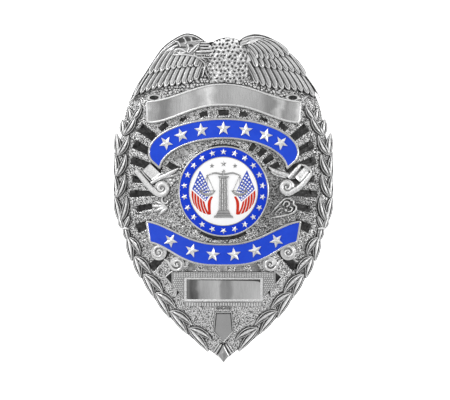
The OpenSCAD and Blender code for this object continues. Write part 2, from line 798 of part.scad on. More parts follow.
module bunting_blue() color(blue) {
    layer(seal_floor + enamel_gap, seal_enamel) fans([fan_blue], 0);
}

// A pair of scales on a post, with two pans that hang from a beam
module scales_outline() {
    post_w = 0.09 * field_r;
    beam = 0.52 * field_r;
    top = 0.5 * field_r;
    pan = 0.24 * field_r;
    cord = 0.17 * pan;
    pan_y = -0.02 * field_r;
    foot_y = -0.66 * field_r;
    translate([-post_w / 2, foot_y]) square([post_w, top - foot_y + 0.1 * field_r]);
    translate([0, top + 0.12 * field_r]) circle(r = post_w, $fn = 32);
    polygon([
        [-beam, top - 0.05 * field_r], [beam, top - 0.05 * field_r], [beam, top + 0.02 * field_r],
        [0, top + 0.09 * field_r], [-beam, top + 0.02 * field_r]
    ]);
    polygon([
        [-2.6 * post_w, foot_y - 0.1 * field_r], [2.6 * post_w, foot_y - 0.1 * field_r],
        [2.2 * post_w, foot_y], [post_w / 2, foot_y + 0.12 * field_r],
        [-post_w / 2, foot_y + 0.12 * field_r], [-2.2 * post_w, foot_y]
    ]);
    for (side = [-1, 1]) translate([side * beam * 0.94, 0]) {
        difference() {
            polygon([[-pan, pan_y], [pan, pan_y], [0, top]]);
            polygon([
                [cord - pan, pan_y + 0.6 * cord], [pan - cord, pan_y + 0.6 * cord], [0, top - 1.4 * cord]
            ]);
        }
        translate([0, pan_y]) intersection() {
            scale([1, 0.6]) circle(r = pan * 1.1, $fn = 48);
            translate([-2 * pan, -2 * pan]) square([4 * pan, 2 * pan + 0.6 * cord]);
        }
    }
}

module seal_emblem() color(metal) {
    layer(seal_enamel + enamel_gap, seal_relief + emblem_rise) translate([0, seal_y]) scales_outline();
}

// Number panel

module number_panel() color(metal) {
    half = number_w / 2 + frame_w;
    wide = half + knurl_w;
    heel = wide - 0.44 * knurl_w;
    plate_top = number_top - strip_h;
    plate_bottom = plate_top - number_h;
    foot_y = plate_top - 0.94 * number_h;
    heel_y = plate_top - 0.55 * number_h;
    side_y = plate_top - 0.4 * number_h;
    right = [
        [half, number_bottom], [half, foot_y], [heel, heel_y], [wide, side_y], [wide, number_top]
    ];
    loop = concat(right, reversed(flip(right)));
    difference() {
        layer(seat_gap, number_relief) polygon(loop);
        layer(number_relief - number_sink, number_relief + 1)
            translate([-number_w / 2, plate_bottom]) square([number_w, number_h]);
    }
}

// Tip

module tip_shield() color(polished) {
    wide = tip_w / 2;
    wide_y = tip_point + 0.36 * (tip_top - tip_point);
    loop = [
        [0, tip_point], [wide, wide_y], [0.83 * wide, tip_top - 0.05 * wide], [0, tip_top],
        [-0.83 * wide, tip_top - 0.05 * wide], [-wide, wide_y]
    ];
    difference() {
        layer(seat_gap, tip_relief) polygon(loop);
        layer(tip_relief - rank_sink, tip_relief + 1) polygon(inset(loop, 0.7 * frame_w));
    }
}

// Stations of the drop's upper and lower half
DROP_TOP = [[0, 0.06, 0.3], [0.5, 0.55, 0.8], [0.8, 1, 1], [1, 0.9, 0.9]];
DROP_LOW = [[0, 1, 1], [0.4, 0.92, 0.9], [0.75, 0.6, 0.6], [1, 0.2, 0.2]];

module tip_drop() color(metal) {
    low = -badge_h / 2;
    top = low + drop_h;
    wide = low + 0.41 * drop_h;
    edge = 0.4 * drop_relief;
    rib_y = top - 0.47 * drop_h;
    rib_end = edge_at(rib_y) + edge_in(rib_y) * 0.1 * drop_w;
    blade([0, top], [0, wide - 0.2 * drop_w], drop_w, seat_gap, edge, drop_relief, DROP_TOP);
    blade([0, wide], [0, low], drop_w, seat_gap, edge, drop_relief, DROP_LOW);
    for (side = [-1, 1])
        blade([side * 0.17 * drop_w, top - 0.3 * drop_w], [side * rib_end[0], rib_end[1]],
            0.3 * drop_w, seat_gap, 0.8 * edge, 0.75 * drop_relief, FEATHER);
}

// Pin clasp, one plain piece on the hollow back

module pin_clasp() color(polished) {
    foot_z = crown_h - plate_wall - block_h;
    pin_from = block_l / 4 - pin_l / 2;
    intersection() {
        for (side = [-1, 1])
            translate([-block_w / 2, (side * (pin_l - block_l) - block_l) / 2, foot_z])
                cube([block_w, block_l, tall]);
        under(-plate_wall - seat_gap);
    }
    translate([0, pin_from, foot_z + pin_d])
        rotate([-90, 0, 0]) cylinder(d = pin_d, h = -2 * pin_from, $fn = 48);
}

shield_plate();
wreath_left();
wreath_right();
eagle();
rank_panel();
upper_ribbon();
upper_enamel();
lower_ribbon();
lower_enamel();
scroll_left();
scroll_right();
tail_left();
tail_right();
seal_disc();
ring_enamel();
field_enamel();
bunting_red();
bunting_blue();
seal_emblem();
number_panel();
tip_shield();
tip_drop();
pin_clasp();
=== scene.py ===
"""The looks of a domed metal shield badge that lies on its back, seen square from above."""

import math

import bpy
import numpy as np
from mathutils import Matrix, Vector, noise


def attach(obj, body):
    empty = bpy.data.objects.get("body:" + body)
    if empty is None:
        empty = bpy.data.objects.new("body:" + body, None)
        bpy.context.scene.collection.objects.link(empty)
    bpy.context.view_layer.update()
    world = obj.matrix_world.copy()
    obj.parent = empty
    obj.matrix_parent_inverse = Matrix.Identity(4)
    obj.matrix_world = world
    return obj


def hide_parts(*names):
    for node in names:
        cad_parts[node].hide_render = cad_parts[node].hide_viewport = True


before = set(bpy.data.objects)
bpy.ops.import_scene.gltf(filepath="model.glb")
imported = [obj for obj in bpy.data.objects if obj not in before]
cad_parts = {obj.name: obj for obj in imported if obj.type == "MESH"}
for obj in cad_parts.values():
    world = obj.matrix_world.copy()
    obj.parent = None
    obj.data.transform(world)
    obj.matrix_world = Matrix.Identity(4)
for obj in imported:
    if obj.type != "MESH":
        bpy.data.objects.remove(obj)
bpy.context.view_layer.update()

# Noise without a seed takes one from the clock, so the eagle's pits would move from run to run
noise.seed_set(2)

# Sizes in millimetres, as the solids have them
MM = 0.001
BADGE_W = 53.2
BADGE_H = 79.7
CROWN = 6.6
ACROSS_R = 80
ALONG_R = 180
OVERHANG = 0.5
PLATE_W = BADGE_W - 2 * OVERHANG
SEAT = 0.1
SEAL_Y = 0.017 * BADGE_H
SEAL_R = 10.8
SEAL_RIM = 0.4
RING_W = 2.05
RING_LINE = 0.3
FIELD_R = SEAL_R - SEAL_RIM - RING_W - RING_LINE
SEAL_LEVEL = 2.2
UPPER_BOTTOM = SEAL_Y + SEAL_R + 1.6
UPPER_TOP = UPPER_BOTTOM + 5.1
UPPER_HALF_W = 18.1
UPPER_INNER_HALF_W = 15.0
UPPER_DROP = 8.2
UPPER_INNER_DROP = 0.9 * UPPER_DROP
RANK_BOTTOM = UPPER_TOP + 2.9
RANK_TOP = RANK_BOTTOM + 5.4
RANK_DROP = 4.2
RANK_BOW_W = 19.3
BAND_HALF_W = 18.7
LOWER_TOP = SEAL_Y - SEAL_R - 1.6
LOWER_BOTTOM = LOWER_TOP - 5.5
LOWER_RISE = 5.5
LOWER_BOWS = (1.25, 1.6)
NUMBER_TOP = LOWER_BOTTOM - 1.4
NUMBER_W = 17.6
NUMBER_H = 4.8
KNURL_W = 3.1
STRIP_H = 1.7
SILL_H = 1.6
NUMBER_BOTTOM = NUMBER_TOP - STRIP_H - NUMBER_H - SILL_H
TIP_TOP = NUMBER_BOTTOM - 1.3
DROP_H = 4.6
TIP_LINE_Y = -26.45
SHOWN_HALF_W = 26.3
PICTURE_PIXELS = 450
PIXEL_W = 0.24
RAY_MARGIN = 4.6
RIBBON_LEVEL = 1.6
FRAME_W = 0.5

# Right edge of the plate, from the top down: height as a share of BADGE_H, half width of PLATE_W
EDGE = [
    (0.469, 0.000), (0.467, 0.077), (0.479, 0.115), (0.488, 0.161), (0.483, 0.199), (0.466, 0.230),
    (0.433, 0.284), (0.393, 0.335), (0.336, 0.397), (0.286, 0.435), (0.245, 0.452), (0.195, 0.466),
    (0.125, 0.489), (0.062, 0.496), (0.000, 0.489), (-0.075, 0.462), (-0.130, 0.440),
    (-0.183, 0.421), (-0.238, 0.381), (-0.292, 0.331), (-0.346, 0.268), (-0.400, 0.186),
    (-0.437, 0.119), (-0.464, 0.056), (-0.485, 0.018),
]


# Curves, as arrays of points in millimetres

def smooth(rows, steps):
    """A smooth curve through all rows."""
    rows = np.asarray(rows, float)
    last = len(rows) - 1
    out = []
    for i in range(last):
        a, b, c, d = rows[max(i - 1, 0)], rows[i], rows[i + 1], rows[min(i + 2, last)]
        for k in range(steps):
            t = k / steps
            out.append(0.5 * (2 * b + (c - a) * t + (2 * a - 5 * b + 4 * c - d) * t * t
                              + (3 * b - a - 3 * c + d) * t ** 3))
    return np.array(out + [rows[-1]])


def even(line, count, trim=0):
    """The line with its points moved to even distances, without a length at each end."""
    line = np.asarray(line, float)
    gone = np.concatenate([[0], np.cumsum(np.linalg.norm(np.diff(line, axis=0), axis=1))])
    at = np.linspace(trim, gone[-1] - trim, count)
    return np.stack([np.interp(at, gone, column) for column in line.T], 1)


def curve(rows, count):
    """A smooth curve through all rows, of count even points."""
    return even(smooth(rows, 12), count)


def bezier(a, b, c, t):
    a, b, c, t = np.asarray(a), np.asarray(b), np.asarray(c), np.asarray(t)[..., None]
    return a * (1 - t) ** 2 + 2 * b * t * (1 - t) + c * t * t


def arc(centre, radius, start, end, count):
    """Points on an arc between two turns in degrees. The radius may be one number or two."""
    a = np.radians(np.linspace(start, end, count))
    return np.asarray(centre) + np.stack([np.cos(a), np.sin(a)], 1) * np.asarray(radius)


def left_of(line, closed=False):
    """The unit vector to the left of the way along a line, at each point."""
    if closed:
        way = np.roll(line, -1, 0) - np.roll(line, 1, 0)
    else:
        way = np.gradient(line, axis=0)
    way /= np.maximum(np.linalg.norm(way, axis=1, keepdims=True), 1e-9)
    return np.stack([-way[:, 1], way[:, 0]], 1)


def inset(loop, distance):
    """The counterclockwise loop moved inwards."""
    back = loop - np.roll(loop, 1, 0)
    back /= np.linalg.norm(back, axis=1, keepdims=True)
    ahead = np.roll(back, -1, 0)
    both = np.stack([-back[:, 1] - ahead[:, 1], back[:, 0] + ahead[:, 0]], 1)
    return loop + both * (2 * distance / np.maximum((both * both).sum(1), 0.5))[:, None]


def mirrored(points):
    return [(-p[0], *p[1:]) for p in points]


def both_sides(points):
    """A list of points on the right with their mirror images, counterclockwise from the bottom."""
    return list(points) + mirrored(points)[::-1]


def height(x, y, level):
    """Height in millimetres of a level above the plate's face, which is a barrel shaped dome."""
    ring = np.sqrt((ALONG_R + level) ** 2 - y * y) - ALONG_R + ACROSS_R
    return np.sqrt(ring * ring - x * x) + CROWN - ACROSS_R


right_edge = smooth([(w * PLATE_W, h * BADGE_H) for h, w in EDGE], 3)
plate_loop = np.array(list(right_edge[::-1]) + mirrored([p for p in right_edge if p[0] > 0]))


# Reliefs: closed forms whose points are (x, y, level above the plate's face)

class Relief:
    """Gathers the faces of one piece."""

    def __init__(self):
        self.points = []
        self.faces = []
        self.count = 0

    def add(self, points, faces):
        points = np.asarray(points, float).reshape(-1, 3)
        self.points.append(points)
        self.faces.extend([[self.count + int(i) for i in f] for f in faces])
        self.count += len(points)

    def grid(self, points, wrap_rows=False, wrap_columns=False, keep=None):
        """A net of quads over rows along a line and columns from its right to its left."""
        rows, columns = points.shape[:2]
        index = np.arange(rows * columns).reshape(rows, columns)
        if wrap_rows:
            index = np.vstack([index, index[:1]])
        if wrap_columns:
            index = np.hstack([index, index[:, :1]])
        quads = np.stack([index[:-1, :-1], index[1:, :-1], index[1:, 1:], index[:-1, 1:]], -1)
        quads = quads.reshape(-1, 4)
        if keep is not None:
            quads = quads[keep.reshape(-1)]
        self.add(points, quads)

    def sweep(self, line, width, top, low=SEAT, columns=9, closed=False):
        """A solid along a line: top gives the level at a share across it, from -1 on the right to 1 on
        the left. Width and level may change along the line."""
        line = np.asarray(line, float)
        v = np.linspace(-1, 1, columns)
        half = np.broadcast_to(np.asarray(width, float) / 2, (len(line),))
        place = line[:, None] + left_of(line, closed)[:, None] * (half[:, None] * v)[..., None]
        level = np.broadcast_to(top(v[None]), (len(line), len(v)))
        upper = np.concatenate([place, level[..., None]], 2)
        under = upper[:, [-1, 0]].copy()
        under[..., 2] = low
        net = np.concatenate([upper, under], 1)
        start = self.count
        self.grid(net, wrap_rows=closed, wrap_columns=True)
        if not closed:
            ring = np.arange(net.shape[1])
            last = start + (len(line) - 1) * len(ring)
            self.faces.append([int(start + i) for i in ring])
            self.faces.append([int(last + i) for i in ring[::-1]])

    def plateau(self, loop, rings, low, peak=None):
        """A raised outline. Rings are (inset, level) from the outside in; a peak closes it to a point."""
        loop = np.asarray(loop, float)
        n = len(loop)
        layers = [np.column_stack([loop, np.full(n, low)])]
        for distance, level in rings:
            layers.append(np.column_stack([inset(loop, distance), np.full(n, level)]))
        start = self.count
        self.grid(np.array(layers).transpose(1, 0, 2), wrap_rows=True)
        width = len(layers)
        top = [start + i * width + width - 1 for i in range(n)]
        self.faces.append([start + i * width for i in range(n)][::-1])
        if peak is None:
            self.faces.append(top)
            return
        centre = self.count
        self.add([(*loop.mean(0), peak)], [])
        self.faces.extend([[top[i], top[(i + 1) % n], centre] for i in range(n)])

    def slab(self, net):
        """A net with walls down to the plate on all sides."""
        rows, columns = net.shape[:2]
        start = self.count
        index = start + np.arange(rows * columns).reshape(rows, columns)
        edge = np.concatenate([index[:, 0], index[-1, 1:], index[-2::-1, -1], index[0, -2:0:-1]])
        self.grid(net)
        foot = self.count + np.arange(len(edge))
        self.add(net.reshape(-1, 3)[edge - start] * [1, 1, 0] + [0, 0, SEAT], [])
        self.faces.extend(np.stack([np.roll(edge, -1), edge, foot, np.roll(foot, -1)], 1).tolist())

    def lathe(self, centre, radii, levels, count=160, squeeze=(1, 1)):
        """A round form: radii and levels from the outside in. A last radius of 0 closes it."""
        radii, levels = list(radii), list(levels)
        pole = radii[-1] == 0
        if pole:
            tip_level = levels.pop()
            radii.pop()
        a = 2 * np.pi * np.arange(count) / count
        ring = np.stack([np.cos(a) * squeeze[0], np.sin(a) * squeeze[1]], 1)
        place = np.asarray(centre) + ring[:, None] * np.array(radii)[None, :, None]
        level = np.broadcast_to(np.array(levels, float), place.shape[:2])
        start = self.count
        self.grid(np.concatenate([place, level[..., None]], 2), wrap_rows=True)
        if pole:
            width = len(radii)
            tip = self.count
            self.add([(*centre, tip_level)], [])
            inner = [start + i * width + width - 1 for i in range(count)]
            self.faces.extend([[inner[i], inner[(i + 1) % count], tip] for i in range(count)])

    def bead(self, centre, radius, level, rise, count=10, squeeze=(1, 1), low=None):
        """A round lump that stands on a level."""
        turn = np.radians([0, 22, 45, 68, 90])
        radii = [radius, *(radius * np.cos(turn[1:4])), 0]
        levels = [level, *(level + rise * np.sin(turn[1:]))]
        self.lathe(centre, [radius] + radii, [level - 0.3 if low is None else low] + levels, count, squeeze)

    def piece(self, name, slot, material, *nodes, sharp=38):
        """Makes the object, which stands for the CAD nodes."""
        points = np.concatenate(self.points)
        points[:, 2] = height(points[:, 0], points[:, 1], points[:, 2])
        mesh = bpy.data.meshes.new(name)
        mesh.from_pydata((points * MM).tolist(), [], self.faces)
        mesh.validate()
        mesh.polygons.foreach_set("use_smooth", np.ones(len(mesh.polygons), bool))
        mesh.set_sharp_from_angle(angle=math.radians(sharp))
        obj = bpy.data.objects.new(name, mesh)
        bpy.context.scene.collection.objects.link(obj)
        mesh.materials.append(material)
        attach(obj, "root")
        if nodes:
            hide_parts(*nodes)
        return obj


# Profiles of a swept line. Level and rise may be columns, with a value for each point of the line.

def round_top(level, rise):
    """Rises from a level at the sides to level + rise in the middle."""
    return lambda v: level + rise * np.sqrt(1 - v * v)


def arched(level, rise):
    """The same, with a small step at the sides."""
    return lambda v: level + rise * np.sqrt(1.001 - v * v)


def flat(level):
    return lambda v: level + 0 * v


# Materials

def new_material(name, colour, metallic, roughness):
    mat = bpy.data.materials.new(name)
    mat.use_nodes = True
    shader = mat.node_tree.nodes["Principled BSDF"]
    shader.inputs["Base Color"].default_value = (*colour, 1)
    shader.inputs["Metallic"].default_value = metallic
    shader.inputs["Roughness"].default_value = roughness
    return mat, mat.node_tree, shader


def place_nodes(tree, scale):
    """The place on the object, in millimetres times a scale."""
    coords = tree.nodes.new("ShaderNodeTexCoord")
    mapping = tree.nodes.new("ShaderNodeMapping")
    factor = np.asarray(scale, float) / MM * np.ones(3)
    mapping.inputs["Scale"].default_value = tuple(factor)
    tree.links.new(coords.outputs["Object"], mapping.inputs["Vector"])
    return mapping.outputs["Vector"]


def noise_node(tree, scale, detail=3, rough=0.55):
    node = tree.nodes.new("ShaderNodeTexNoise")
    node.inputs["Scale"].default_value = 1
    node.inputs["Detail"].default_value = detail
    node.inputs["Roughness"].default_value = rough
    tree.links.new(place_nodes(tree, scale), node.inputs["Vector"])
    return node.outputs["Fac"]


def ramp(tree, value, stops):
    """A colour ramp: stops are (place, grey or colour)."""
    node = tree.nodes.new("ShaderNodeValToRGB")
    band = node.color_ramp
    while len(band.elements) < len(stops):
        band.elements.new(0.5)
    for element, (at, colour) in zip(band.elements, stops):
        element.position = at
        element.color = (colour,) * 3 + (1,) if np.isscalar(colour) else (*colour, 1)
    tree.links.new(value, node.inputs["Fac"])
    return node.outputs["Color"]


def combine(tree, kind, a, b, share=None):
    """Colour b upon colour a. A share mixes them, from a at 0 to b at 1."""
    node = tree.nodes.new("ShaderNodeMix")
    node.data_type = "RGBA"
    node.blend_type = kind
    node.inputs["Factor"].default_value = 1
    if share is not None:
        tree.links.new(share, node.inputs["Factor"])
    tree.links.new(a, node.inputs["A"])
    tree.links.new(b, node.inputs["B"])
    return node.outputs["Result"]


def bump(tree, shader, value, strength, distance):
    node = tree.nodes.new("ShaderNodeBump")
    node.inputs["Strength"].default_value = strength
    node.inputs["Distance"].default_value = distance * MM
    tree.links.new(value, node.inputs["Height"])
    tree.links.new(node.outputs["Normal"], shader.inputs["Normal"])


def crevice(tree, reach):
    """How open a place is, from 0 in a crevice to 1."""
    node = tree.nodes.new("ShaderNodeAmbientOcclusion")
    node.samples = 6
    node.inputs["Distance"].default_value = reach * MM
    return node.outputs["AO"]


def glow(shader, strength):
    shader.inputs["Emission Color"].default_value = (1, 1, 1, 1)
    shader.inputs["Emission Strength"].default_value = strength


def plated_metal(name, grey, rough, reach, crevice_shade, shine=1.0, grain=3.0, depth=0.012):
    """Nickel plate with a fine uneven grain and painted shade: its colour darkens in crevices within a reach.
    Frosted plate has less shine."""
    mat, tree, shader = new_material(name, (grey, grey, grey), shine, rough)
    # Painted shade: ambient occlusion darkens the colour in crevices
    open_share = ramp(tree, crevice(tree, reach), [(0.22, crevice_shade), (0.45, 0.62), (0.72, 1.0)])
    cloud = ramp(tree, noise_node(tree, 0.35), [(0.3, grey * 0.93), (0.7, grey)])
    tree.links.new(combine(tree, "MULTIPLY", cloud, open_share), shader.inputs["Base Color"])
    spots = ramp(tree, noise_node(tree, 1.4, 4), [(0.35, rough * 0.75), (0.7, rough * 1.35)])
    tree.links.new(spots, shader.inputs["Roughness"])
    bump(tree, shader, noise_node(tree, grain, 3, 0.6), 0.6, depth)
    return mat


def enamel(name, colour, deep):
    """Glossy hard enamel with a faint clouding."""
    mat, tree, shader = new_material(name, colour, 0, 0.22)
    clouds = ramp(tree, noise_node(tree, 0.5, 2), [(0.3, deep), (0.7, colour)])
    tree.links.new(clouds, shader.inputs["Base Color"])
    shader.inputs["Specular IOR Level"].default_value = 0.25
    bump(tree, shader, noise_node(tree, 0.8, 1), 0.25, 0.03)
    return mat


def math_node(tree, kind, a, b=None):
    """The result of an operation on one or two sockets or numbers."""
    node = tree.nodes.new("ShaderNodeMath")
    node.operation = kind
    for k, value in enumerate((a, b)):
        if value is None:
            continue
        if isinstance(value, (int, float)):
            node.inputs[k].default_value = value
        else:
            tree.links.new(value, node.inputs[k])
    return node.outputs["Value"]


def axes(tree, vector):
    """The X, Y and Z of a vector."""
    split = tree.nodes.new("ShaderNodeSeparateXYZ")
    tree.links.new(vector, split.inputs["Vector"])
    return [split.outputs[k] for k in "XYZ"]


def diagonal(tree, a, b):
    """The diagonal of a rectangle with two given sides."""
    squares = [math_node(tree, "MULTIPLY", side, side) for side in (a, b)]
    return math_node(tree, "SQRT", math_node(tree, "ADD", *squares))


def level_node(tree):
    """The level above the plate's face in millimetres, worked out from the place."""
    x, y, z = axes(tree, place_nodes(tree, 1))
    ring = diagonal(tree, x, math_node(tree, "SUBTRACT", z, CROWN - ACROSS_R))
    along_ring = math_node(tree, "ADD", ring, ALONG_R - ACROSS_R)
    return math_node(tree, "SUBTRACT", diagonal(tree, y, along_ring), ALONG_R)


def near_node(tree, at, reach):
    """How near a place is to a point, from 1 to less than 0 beyond the reach."""
    x, y, _ = axes(tree, place_nodes(tree, 1))
    away = diagonal(tree, math_node(tree, "SUBTRACT", x, at[0]), math_node(tree, "SUBTRACT", y, at[1]))
    return math_node(tree, "SUBTRACT", 1.0, math_node(tree, "DIVIDE", away, reach))


def patch_node(tree, at, reach, strength):
    """A soft round patch that fades to 0 at its reach."""
    near = math_node(tree, "MAXIMUM", near_node(tree, at, reach), 0)
    return math_node(tree, "MULTIPLY", near, strength)


def mottle(tree, shader):
    """The dark mottled colour of painted dark reflection and shade on a polished floor, whose skin is made
    uneven.
    """
    bump(tree, shader, noise_node(tree, 2.6, 4, 0.7), 0.6, 0.08)
    return ramp(tree, noise_node(tree, 1.1, 5, 0.7), [(0.3, 0.02), (0.5, 0.055), (0.72, 0.13)])


def rayed_metal():
    """The plate: bright at its rim, walls and back, with painted shade where they are closed in; on the
    polished floors of its windows a dark mottled painted reflection, with two places where a reflection of
    something pale is painted."""
    mat, tree, shader = new_material("rayed_plate", (0.8, 0.8, 0.8), 1, 0.25)
    normal = tree.nodes.new("ShaderNodeNewGeometry").outputs["True Normal"]
    upwards = math_node(tree, "GREATER_THAN", axes(tree, normal)[2], 0.5)
    on_floor = math_node(tree, "MULTIPLY", math_node(tree, "GREATER_THAN", level_node(tree), -1.0), upwards)
    # Painted reflection: the window floors turn pale near two points
    pale = ramp(tree, noise_node(tree, 0.7, 4, 0.6), [(0.35, 0.30), (0.5, 0.55), (0.66, 0.85)])
    mirrored_light = math_node(tree, "MAXIMUM", near_node(tree, (-8.0, 11.5), 5.5),
                               near_node(tree, (0.0, -19.4), 9.9))
    share = ramp(tree, mirrored_light, [(0.02, 0), (0.30, 1)])
    # The window floors take the dark painted reflection, and the pale one near the two points
    floor = combine(tree, "MIX", mottle(tree, shader), pale, share)
    # Painted shade: ambient occlusion darkens the rim, walls and back where they are closed in
    bright = ramp(tree, crevice(tree, 0.8), [(0.3, 0.25), (0.9, 0.8)])
    tree.links.new(combine(tree, "MIX", bright, floor, on_floor), shader.inputs["Base Color"])
    return mat


def recess_metal():
    """The dark mottled floor of a recess, its darkness painted shade."""
    mat, tree, shader = new_material("recess_floor", (0.06, 0.06, 0.06), 1, 0.3)
    tree.links.new(mottle(tree, shader), shader.inputs["Base Color"])
    return mat


def pebbled_metal():
    """Bright plate over fine round pebbles, with painted shade in the gaps between the pebbles and in
    crevices, a random cloudy tone, and painted light and shade in two soft patches, lighter low on the badge
    and darker right of the seal.
    """
    mat, tree, shader = new_material("pebbled_nickel", (0.84, 0.84, 0.84), 1, 0.24)
    cells = tree.nodes.new("ShaderNodeTexVoronoi")
    cells.inputs["Scale"].default_value = 1
    cells.inputs["Randomness"].default_value = 1
    tree.links.new(place_nodes(tree, (3.8, 3.8, 0.3)), cells.inputs["Vector"])
    grain = cells.outputs["Distance"]
    # Painted shade: the colour darkens in the low gaps between the pebbles
    pits = ramp(tree, grain, [(0.0, 0.98), (0.38, 0.90), (0.58, 0.38), (0.80, 0.05)])
    # Painted light and shade: a lighter patch low on the badge and a darker patch right of the seal, over
    # random clouding
    pale = patch_node(tree, (0, -27), 20, 0.75)
    painted_shade_patch = patch_node(tree, (13, -1), 11, 0.34)
    cloud = math_node(tree, "SUBTRACT", math_node(tree, "ADD", noise_node(tree, 0.9, 4, 0.7), pale), painted_shade_patch)
    patches = ramp(tree, cloud, [(0.26, 0.44), (0.42, 0.68), (0.60, 1.08), (0.95, 1.26)])
    # Painted shade: ambient occlusion darkens the colour in crevices
    crevice_shade = ramp(tree, crevice(tree, 0.5), [(0.35, 0.30), (0.80, 1.0)])
    shade = combine(tree, "MULTIPLY", combine(tree, "MULTIPLY", pits, patches), crevice_shade)
    tree.links.new(shade, shader.inputs["Base Color"])
    height_map = ramp(tree, grain, [(0.0, 1), (0.4, 0.72), (0.8, 0.0)])
    bump(tree, shader, height_map, 0.7, 0.10)
    return mat


def banded_metal(name, bands, rough, wander=1.0):
    """A polished plate with soft tone bands of painted reflection across it, as of things it mirrors. The
    bands are places from the left to the right in millimetres, each with its tone. They sway by as much as
    they wander."""
    mat, tree, shader = new_material(name, (0.5, 0.5, 0.5), 1, rough)
    span = 40
    x = axes(tree, place_nodes(tree, 1))[0]
    sway = math_node(tree, "SUBTRACT", noise_node(tree, 0.3, 2), 0.5)
    across = math_node(tree, "ADD", x, math_node(tree, "MULTIPLY", sway, wander * 4))
    share = math_node(tree, "ADD", math_node(tree, "MULTIPLY", across, 1 / span), 0.5)
    tones = ramp(tree, share, [(at / span + 0.5, tone) for at, tone in bands])
    tones.node.color_ramp.interpolation = "EASE"
    streak = ramp(tree, noise_node(tree, (5, 0.35, 1), 3), [(0.3, 0.86), (0.7, 1.0)])
    tree.links.new(combine(tree, "MULTIPLY", tones, streak), shader.inputs["Base Color"])
    bump(tree, shader, noise_node(tree, (9, 0.5, 1), 3), 0.35, 0.012)
    return mat


nickel = plated_metal("nickel_plate", 0.78, 0.20, 0.45, 0.12, depth=0.02)
grey_relief = plated_metal("grey_relief", 0.74, 0.18, 0.4, 0.12)
leaf_silver = plated_metal("leaf_silver", 0.86, 0.18, 0.4, 0.12)
head_silver = plated_metal("head_silver", 0.86, 0.26, 0.3, 0.10, 0.6)
scroll_silver = plated_metal("scroll_silver", 0.96, 0.28, 0.5, 0.08, 0.65)
# Painted highlight: a lighter copy of the nickel plate for edges, rims, ribs and knurls that catch the light
painted_highlight_edge = plated_metal("painted_highlight_edge", 0.98, 0.26, 0.3, 0.12, 0.5)
# Painted shade: the ground between the knurls is a darker grey of the nickel plate
knurl_ground_shade = plated_metal("knurl_ground", 0.52, 0.30, 0.3, 0.30)
# Painted shade: a near black copy of the plate for lines and floors where shade falls
painted_shade_line = plated_metal("shaded_line", 0.12, 0.35, 0.3, 0.40, depth=0.02)
satin = plated_metal("satin_silver", 0.94, 0.34, 0.5, 0.10, 0.6, depth=0.02)
emblem_metal = plated_metal("emblem_silver", 0.56, 0.30, 0.35, 0.12, depth=0.02)
grey_plate = plated_metal("grey_plate", 0.60, 0.20, 0.3, 0.10, grain=0.9)
pebbled = pebbled_metal()
rayed = rayed_metal()
# Painted shade: the dark mottled floors of recesses
painted_shade_floor = recess_metal()
# Painted reflections: tone bands across the rank panel's face
polished_face = banded_metal("brushed_face_painted_reflection", [
    (-18.6, 1.0), (-16.8, 0.60), (-14.4, 0.38), (-12.0, 0.62), (-9.4, 0.74), (-6.6, 0.54), (-4.6, 0.75),
    (-3.6, 1.0), (-2.7, 0.80), (-0.8, 0.58), (3.0, 0.68), (8.6, 0.58), (11.2, 0.40), (13.0, 0.85),
    (14.8, 0.46), (16.6, 0.58), (18.4, 1.0)], 0.26)
# Painted reflections: tone bands across the number plate
mirror = banded_metal("mirror_plate", [
    (-8.6, 0.40), (-7.6, 0.18), (-6.6, 0.26), (-5.4, 0.70), (-1.2, 0.80), (-0.2, 0.46), (1.4, 0.44),
    (2.4, 0.72), (8.0, 0.76)], 0.14, 0.4)
ribbon_blue = enamel("ribbon_blue_enamel", (0.017, 0.085, 0.80), (0.014, 0.072, 0.74))
ring_blue = enamel("ring_blue_enamel", (0.003, 0.055, 0.76), (0.002, 0.042, 0.68))
canton_blue = enamel("canton_blue_enamel", (0.07, 0.12, 0.62), (0.05, 0.10, 0.56))
white = enamel("white_enamel", (0.94, 0.94, 0.94), (0.91, 0.91, 0.915))
# Painted light: the white enamel glows a little
glow(white.node_tree.nodes["Principled BSDF"], 0.22)
red = enamel("red_enamel", (0.75, 0.035, 0.010), (0.66, 0.028, 0.008))
steel, steel_tree, steel_shader = new_material("pin_steel", (0.55, 0.55, 0.56), 1, 0.34)
bump(steel_tree, steel_shader, noise_node(steel_tree, (6, 0.4, 6)), 0.5, 0.02)


# Ground: the pebbled skin between the sunk rays

def radius_at(loop, turns):
    """Distance from the seal's centre to a loop, at each turn."""
    rel = loop - [0, SEAL_Y]
    a = np.degrees(np.arctan2(rel[:, 1], rel[:, 0])) % 360
    order = np.argsort(a)
    return np.interp(turns, a[order], np.hypot(rel[order, 0], rel[order, 1]), period=360)


def dense(loop, steps=8):
    """The loop with its sides cut in even steps."""
    ends = np.roll(loop, -1, 0)
    t = np.linspace(0, 1, steps, endpoint=False)[None, :, None]
    return (loop[:, None] * (1 - t) + ends[:, None] * t).reshape(-1, 2)


def pebbles(x, y, cell):
    """Height share of round pebbles of one size at each place, from 0 between them to 1."""
    out = np.empty(x.shape)
    for at in np.ndindex(x.shape):
        near = noise.voronoi((x[at] / cell, y[at] / cell, 0.5), distance_metric="DISTANCE")[0][0]
        out[at] = 1 - min(near / 0.75, 1) ** 2
    return out


